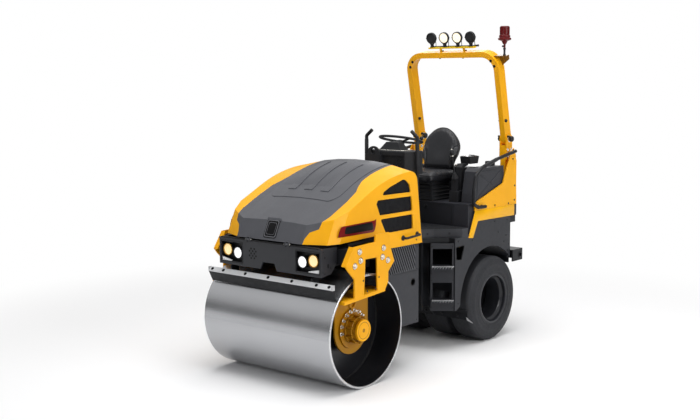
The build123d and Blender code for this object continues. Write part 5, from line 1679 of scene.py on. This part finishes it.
def dress_steering_wheel():
    place = Matrix.Translation((-1279, 0, 1768)) @ Matrix.Rotation(-WHEEL_LEAN, 4, "Y")
    way = place.to_3x3() @ Vector(UP)
    profile = [(36, -12), (37, -6), (34, 1), (26, 5), (12, 7), (0, 7.4)]
    cap = lathe(profile, place @ Vector((0, 0, -14)), way, 40)
    cap.piece("steering_hub_cap", "steering_wheel", PLASTIC, "black_plastic", sharp=50)
    profile = [(22, 7), (22, 8.6), (19, 9.6), (16, 8.8), (16, 7)]
    ring = lathe(profile, place @ Vector((0, 0, -15)), way, 36, closed=False)
    ring.piece("steering_hub_ring", "steering_wheel", DARK_STEEL, "black_plastic")
    profile = [(9, 0), (9, 10), (14, 14), (17, 24), (15, 36), (8, 41), (0, 42)]
    knob = lathe(profile, place @ Vector((176 * cos(2.4), 176 * sin(2.4), 9)), way, 28)
    knob.piece("steering_knob", "steering_wheel", PLASTIC, "black_plastic", sharp=50)


# ---------------------------------------------------------------- roll-over frame and lamps
# Each work lamp's Y place, and whether it is lit. Heights run up the hoop from its hinge.
WORK_LAMPS = ((-210, False), (-71, True), (71, True), (210, False))
LAMP_HEIGHT = 922
HOOP_FRONT = hoop_view().to_3x3() @ Vector(UP)
HOOP_UP = hoop_view().to_3x3() @ Vector(LEFT)
HOOP_LEFT = hoop_view().to_3x3() @ Vector(FORWARD)
HOOP_OUTSIDE = ROPS_Y + 11
HOOP_INSIDE = ROPS_Y - 61


def on_hoop(y, height, forward=0.0):
    """Place on the hoop's own plane, or forward of it."""
    return hoop_view(forward) @ Vector((y, height, 0))


def dress_rops():
    holes, heads, pads, knobs, washers = shapes(5)
    rim = [(13, 0), (13, 1.6), (9.5, 1.6), (8.5, 0.4), (0, 0.4)]
    for y, height in ((424, 713), (456, 666)):
        holes.join(lathe(rim, on_hoop(y, height, 50), HOOP_FRONT, 24))
        holes.join(lathe(rim, on_hoop(y, height, -50), -HOOP_FRONT, 24))
    for forward in (-28, 28):
        heads.join(bolt(on_hoop(125, 745, forward), -HOOP_UP, 9))
    heads.join(bolt(on_hoop(125, 795, -28), HOOP_UP, 8))
    for y, way in ((ROPS_Y, LEFT), (ROPS_Y - 50, RIGHT)):
        pads.join(lathe([(14, 0), (14, 10), (10, 16), (0, 17)], on_hoop(y, 170, 20), way, 20))
    for x, z in ((HINGE_X - 28, 1590), (HINGE_X + 28, 1590), (HINGE_X - 28, 1650), (HINGE_X + 28, 1650)):
        washers.join(bolt((x, HOOP_OUTSIDE, z), LEFT, 10))
        washers.join(bolt((x, HOOP_INSIDE, z), RIGHT, 10))
    washer = [(30, 0), (30, 3), (27, 4.5), (15.2, 4.5)]
    grip = [(15.5, 9), (24, 11), (26, 16), (26, 30), (22, 36), (0, 37)]
    for y, way in ((HOOP_OUTSIDE, LEFT), (HOOP_INSIDE, RIGHT)):
        washers.join(lathe(washer, (HINGE_X, y, HINGE_Z), way, 32, closed=False))
        knobs.join(lathe(grip, (HINGE_X, y, HINGE_Z), way, 10, closed=False))
        knobs.join(lathe([(9, 0), (9, 22), (7, 24), (0, 24)], (HINGE_X + 34, y, HINGE_Z + 22), way, 16))
    # The hoop's holes are near-black discs: painted shade.
    holes.mirrored().piece("rops_shoulder_holes", "rops", BLACK_AND_HOLE_SHADE, "black_plastic")
    heads.mirrored().piece("rops_bolts", "rops", DARK_STEEL, "black_paint")
    pads.mirrored().piece("rops_pads", "rops", PLASTIC, "black_plastic")
    washers.mirrored().piece("rops_hinge_bolts", "rear", ZINC, "drum_steel")
    knobs.mirrored().piece("rops_hinge_knobs", "rear", PLASTIC, "black_plastic", 1.5)
    gussets = block((-2262, -2162), (ROPS_Y - 54, ROPS_Y + 4), (1163, 1171))
    for x in (-2250, -2174):
        gussets.join(bolt((x, 438, 1163), UP, 8))
    gussets.mirrored().piece("rops_post_feet", "rear", YELLOW, "yellow_paint", 1.0)


def dress_light_bar():
    lenses = {True: Shape(), False: Shape()}
    bezels, cables, yokes = shapes(3)
    dome = [(43.6, 13), (43.6, 15.5), (36, 18), (20, 19.6), (0, 20)]
    ring = [(50.6, 4), (50.6, 17.5), (48.5, 20.6), (44, 20.2), (43, 16)]
    for y, lit in WORK_LAMPS:
        middle = on_hoop(y, LAMP_HEIGHT)
        lenses[lit].join(lathe(dome, middle, HOOP_FRONT, 40))
        bezels.join(lathe(ring, middle, HOOP_FRONT, 48, closed=False))
        for across, up in circle(8, 46.6, pi / 8):
            spot = on_hoop(y + across, LAMP_HEIGHT + up, 19.5)
            bezels.join(lathe([(2.6, 0), (2.6, 1.4), (0, 1.6)], spot, HOOP_FRONT, 8))
        for number in range(5):
            radius = 34 - number * 3
            back = -13 - number * 3.2
            fin = [(radius, back), (radius + 4, back - 1), (radius, back - 2.4)]
            bezels.join(lathe(fin, middle, HOOP_FRONT, 36, closed=False))
        for side in (-1, 1):
            arm = [(15, 842), (15, 868), (44, 890), (53, LAMP_HEIGHT)]
            line = [on_hoop(y + side * across, height, 8) for across, height in arm]
            yokes.join(tube(line, 3.4, 8, 12))
            spot = on_hoop(y + side * 50, LAMP_HEIGHT, 8)
            yokes.join(lathe([(8, 0), (8, 5), (5, 7), (0, 7)], spot, (0, side, 0), 10))
        yokes.join(bolt(on_hoop(y, 845, 12), HOOP_UP, 8))
        lead = [on_hoop(y, LAMP_HEIGHT, -30), on_hoop(y + 14, 880, -36), on_hoop(y + 24, 841, -16)]
        cables.join(tube(lead, 3, 8, 18))
    run = [on_hoop(y, 842, -14) for y in (-236, 240)]
    cables.join(tube(run, 4, 8, 0))
    cables.join(lathe([(4, -6), (8, 0), (8, 24), (10, 26), (10, 34), (0, 34)], run[1], HOOP_LEFT, 16))
    lenses[True].piece("work_lamp_lenses", "rops", LIT_LENS, "lamp_lens")
    lenses[False].piece("work_lamp_lenses_unlit", "rops", DARK_LENS, "black_plastic")
    bezels.piece("work_lamp_bezels", "rops", PLASTIC, "black_plastic", sharp=50)
    cables.piece("work_lamp_leads", "rops", PLASTIC, "black_plastic")
    yokes.piece("work_lamp_brackets", "rops", DARK_STEEL, "black_paint")


def dress_beacon():
    """Ribs round the hood, ring nuts and screws; heights count from the bracket's shelf."""
    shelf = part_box("beacon")[1].z * 1000 - BEACON_HEIGHT
    x, y, _ = on_hoop(ROPS_Y + 42, 752)
    foot = (x, y, shelf)
    ribs = Shape()
    for turn in around(24, x, y):
        ribs.join(block((41.4, 43.2), (-1.4, 1.4), (shelf + 181, shelf + 240)), turn)
    for height in (181, 240):
        ring = [(41.5, height - 2), (43.6, height - 1.4), (43.6, height + 1.4), (41.5, height + 2)]
        ribs.join(lathe(ring, foot, UP, 48, closed=False))
    ribs.join(lathe([(47.4, 155), (48.6, 158), (48.6, 169), (47.4, 172)], foot, UP, 48, closed=False))
    ribs.piece("beacon_ribs", "rops", RED, "beacon_red")
    fittings = Shape()
    for across, along in circle(3, 50):
        fittings.join(bolt((x + across, y + along, shelf + 147), UP, 4, 1.2, 4))
    fittings.join(lathe([(14, 0), (14, 8), (11, 12), (9.2, 12)], foot, UP, 6, closed=False))
    fittings.join(lathe([(11, 50), (12.5, 53), (12.5, 60), (11, 63)], foot, UP, 24, closed=False))
    plug = [(5, 8), (5, 20), (8, 22), (8, 32), (0, 33)]
    fittings.join(lathe(plug, (x, y, shelf + 78), FORWARD, 16))
    fittings.piece("beacon_fittings", "rops", DARK_STEEL, "black_paint")


# ---------------------------------------------------------------- steering cylinder
CYLINDER_Z = 720.0
CYLINDER_FRONT = (-800, 100, CYLINDER_Z)


def dress_cylinder():
    start = to_machine(joints["barrel_swing"]["pos_m"])
    start.z = CYLINDER_Z
    way = (Vector(CYLINDER_FRONT) - start).normalized()
    reach = ((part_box("steering_barrel")[1].x - DRUM_X) * 1000 - start.x) / way.x
    gland = [(28.2, reach - 26), (31, reach - 24), (31, reach - 5), (28, reach - 2)]
    glands = lathe(gland, start, way, 32, closed=False)
    glands.join(lathe([(28.2, 40), (30, 42), (30, 50), (28.2, 52)], start, way, 32, closed=False))
    ports = Shape()
    for distance in (62, reach - 44):
        spot = start + way * distance
        ports.join(lathe([(12, 24), (12, 36), (9, 38), (9, 46), (0, 46)], spot, UP, 6))
    glands.piece("cylinder_glands", "cylinder_barrel", DARK_STEEL, "black_paint", sharp=50)
    ports.piece("cylinder_ports", "cylinder_barrel", ZINC, "drum_steel")


# ---------------------------------------------------------------- all
DRESSINGS = (
    dress_nodes, make_floor, make_world, make_lights, make_camera, dress_drum, dress_motor, dress_yokes,
    dress_lamps, dress_lamp_panel, dress_scraper, dress_hood_front, dress_hood_sides, dress_windows,
    dress_side_panels, dress_articulation, dress_wheels, dress_wheel_scrapers, dress_fenders, dress_steps,
    dress_floor, dress_seat_box, dress_tank, dress_rear_brackets, dress_rear, dress_handrails, make_cushion,
    make_seat_back, dress_seat, dress_console, dress_dash, dress_steering_wheel, dress_rops, dress_light_bar,
    dress_beacon, dress_cylinder,
)
for dress in DRESSINGS:
    dress()
bpy.context.scene.view_settings.view_transform = "Standard"
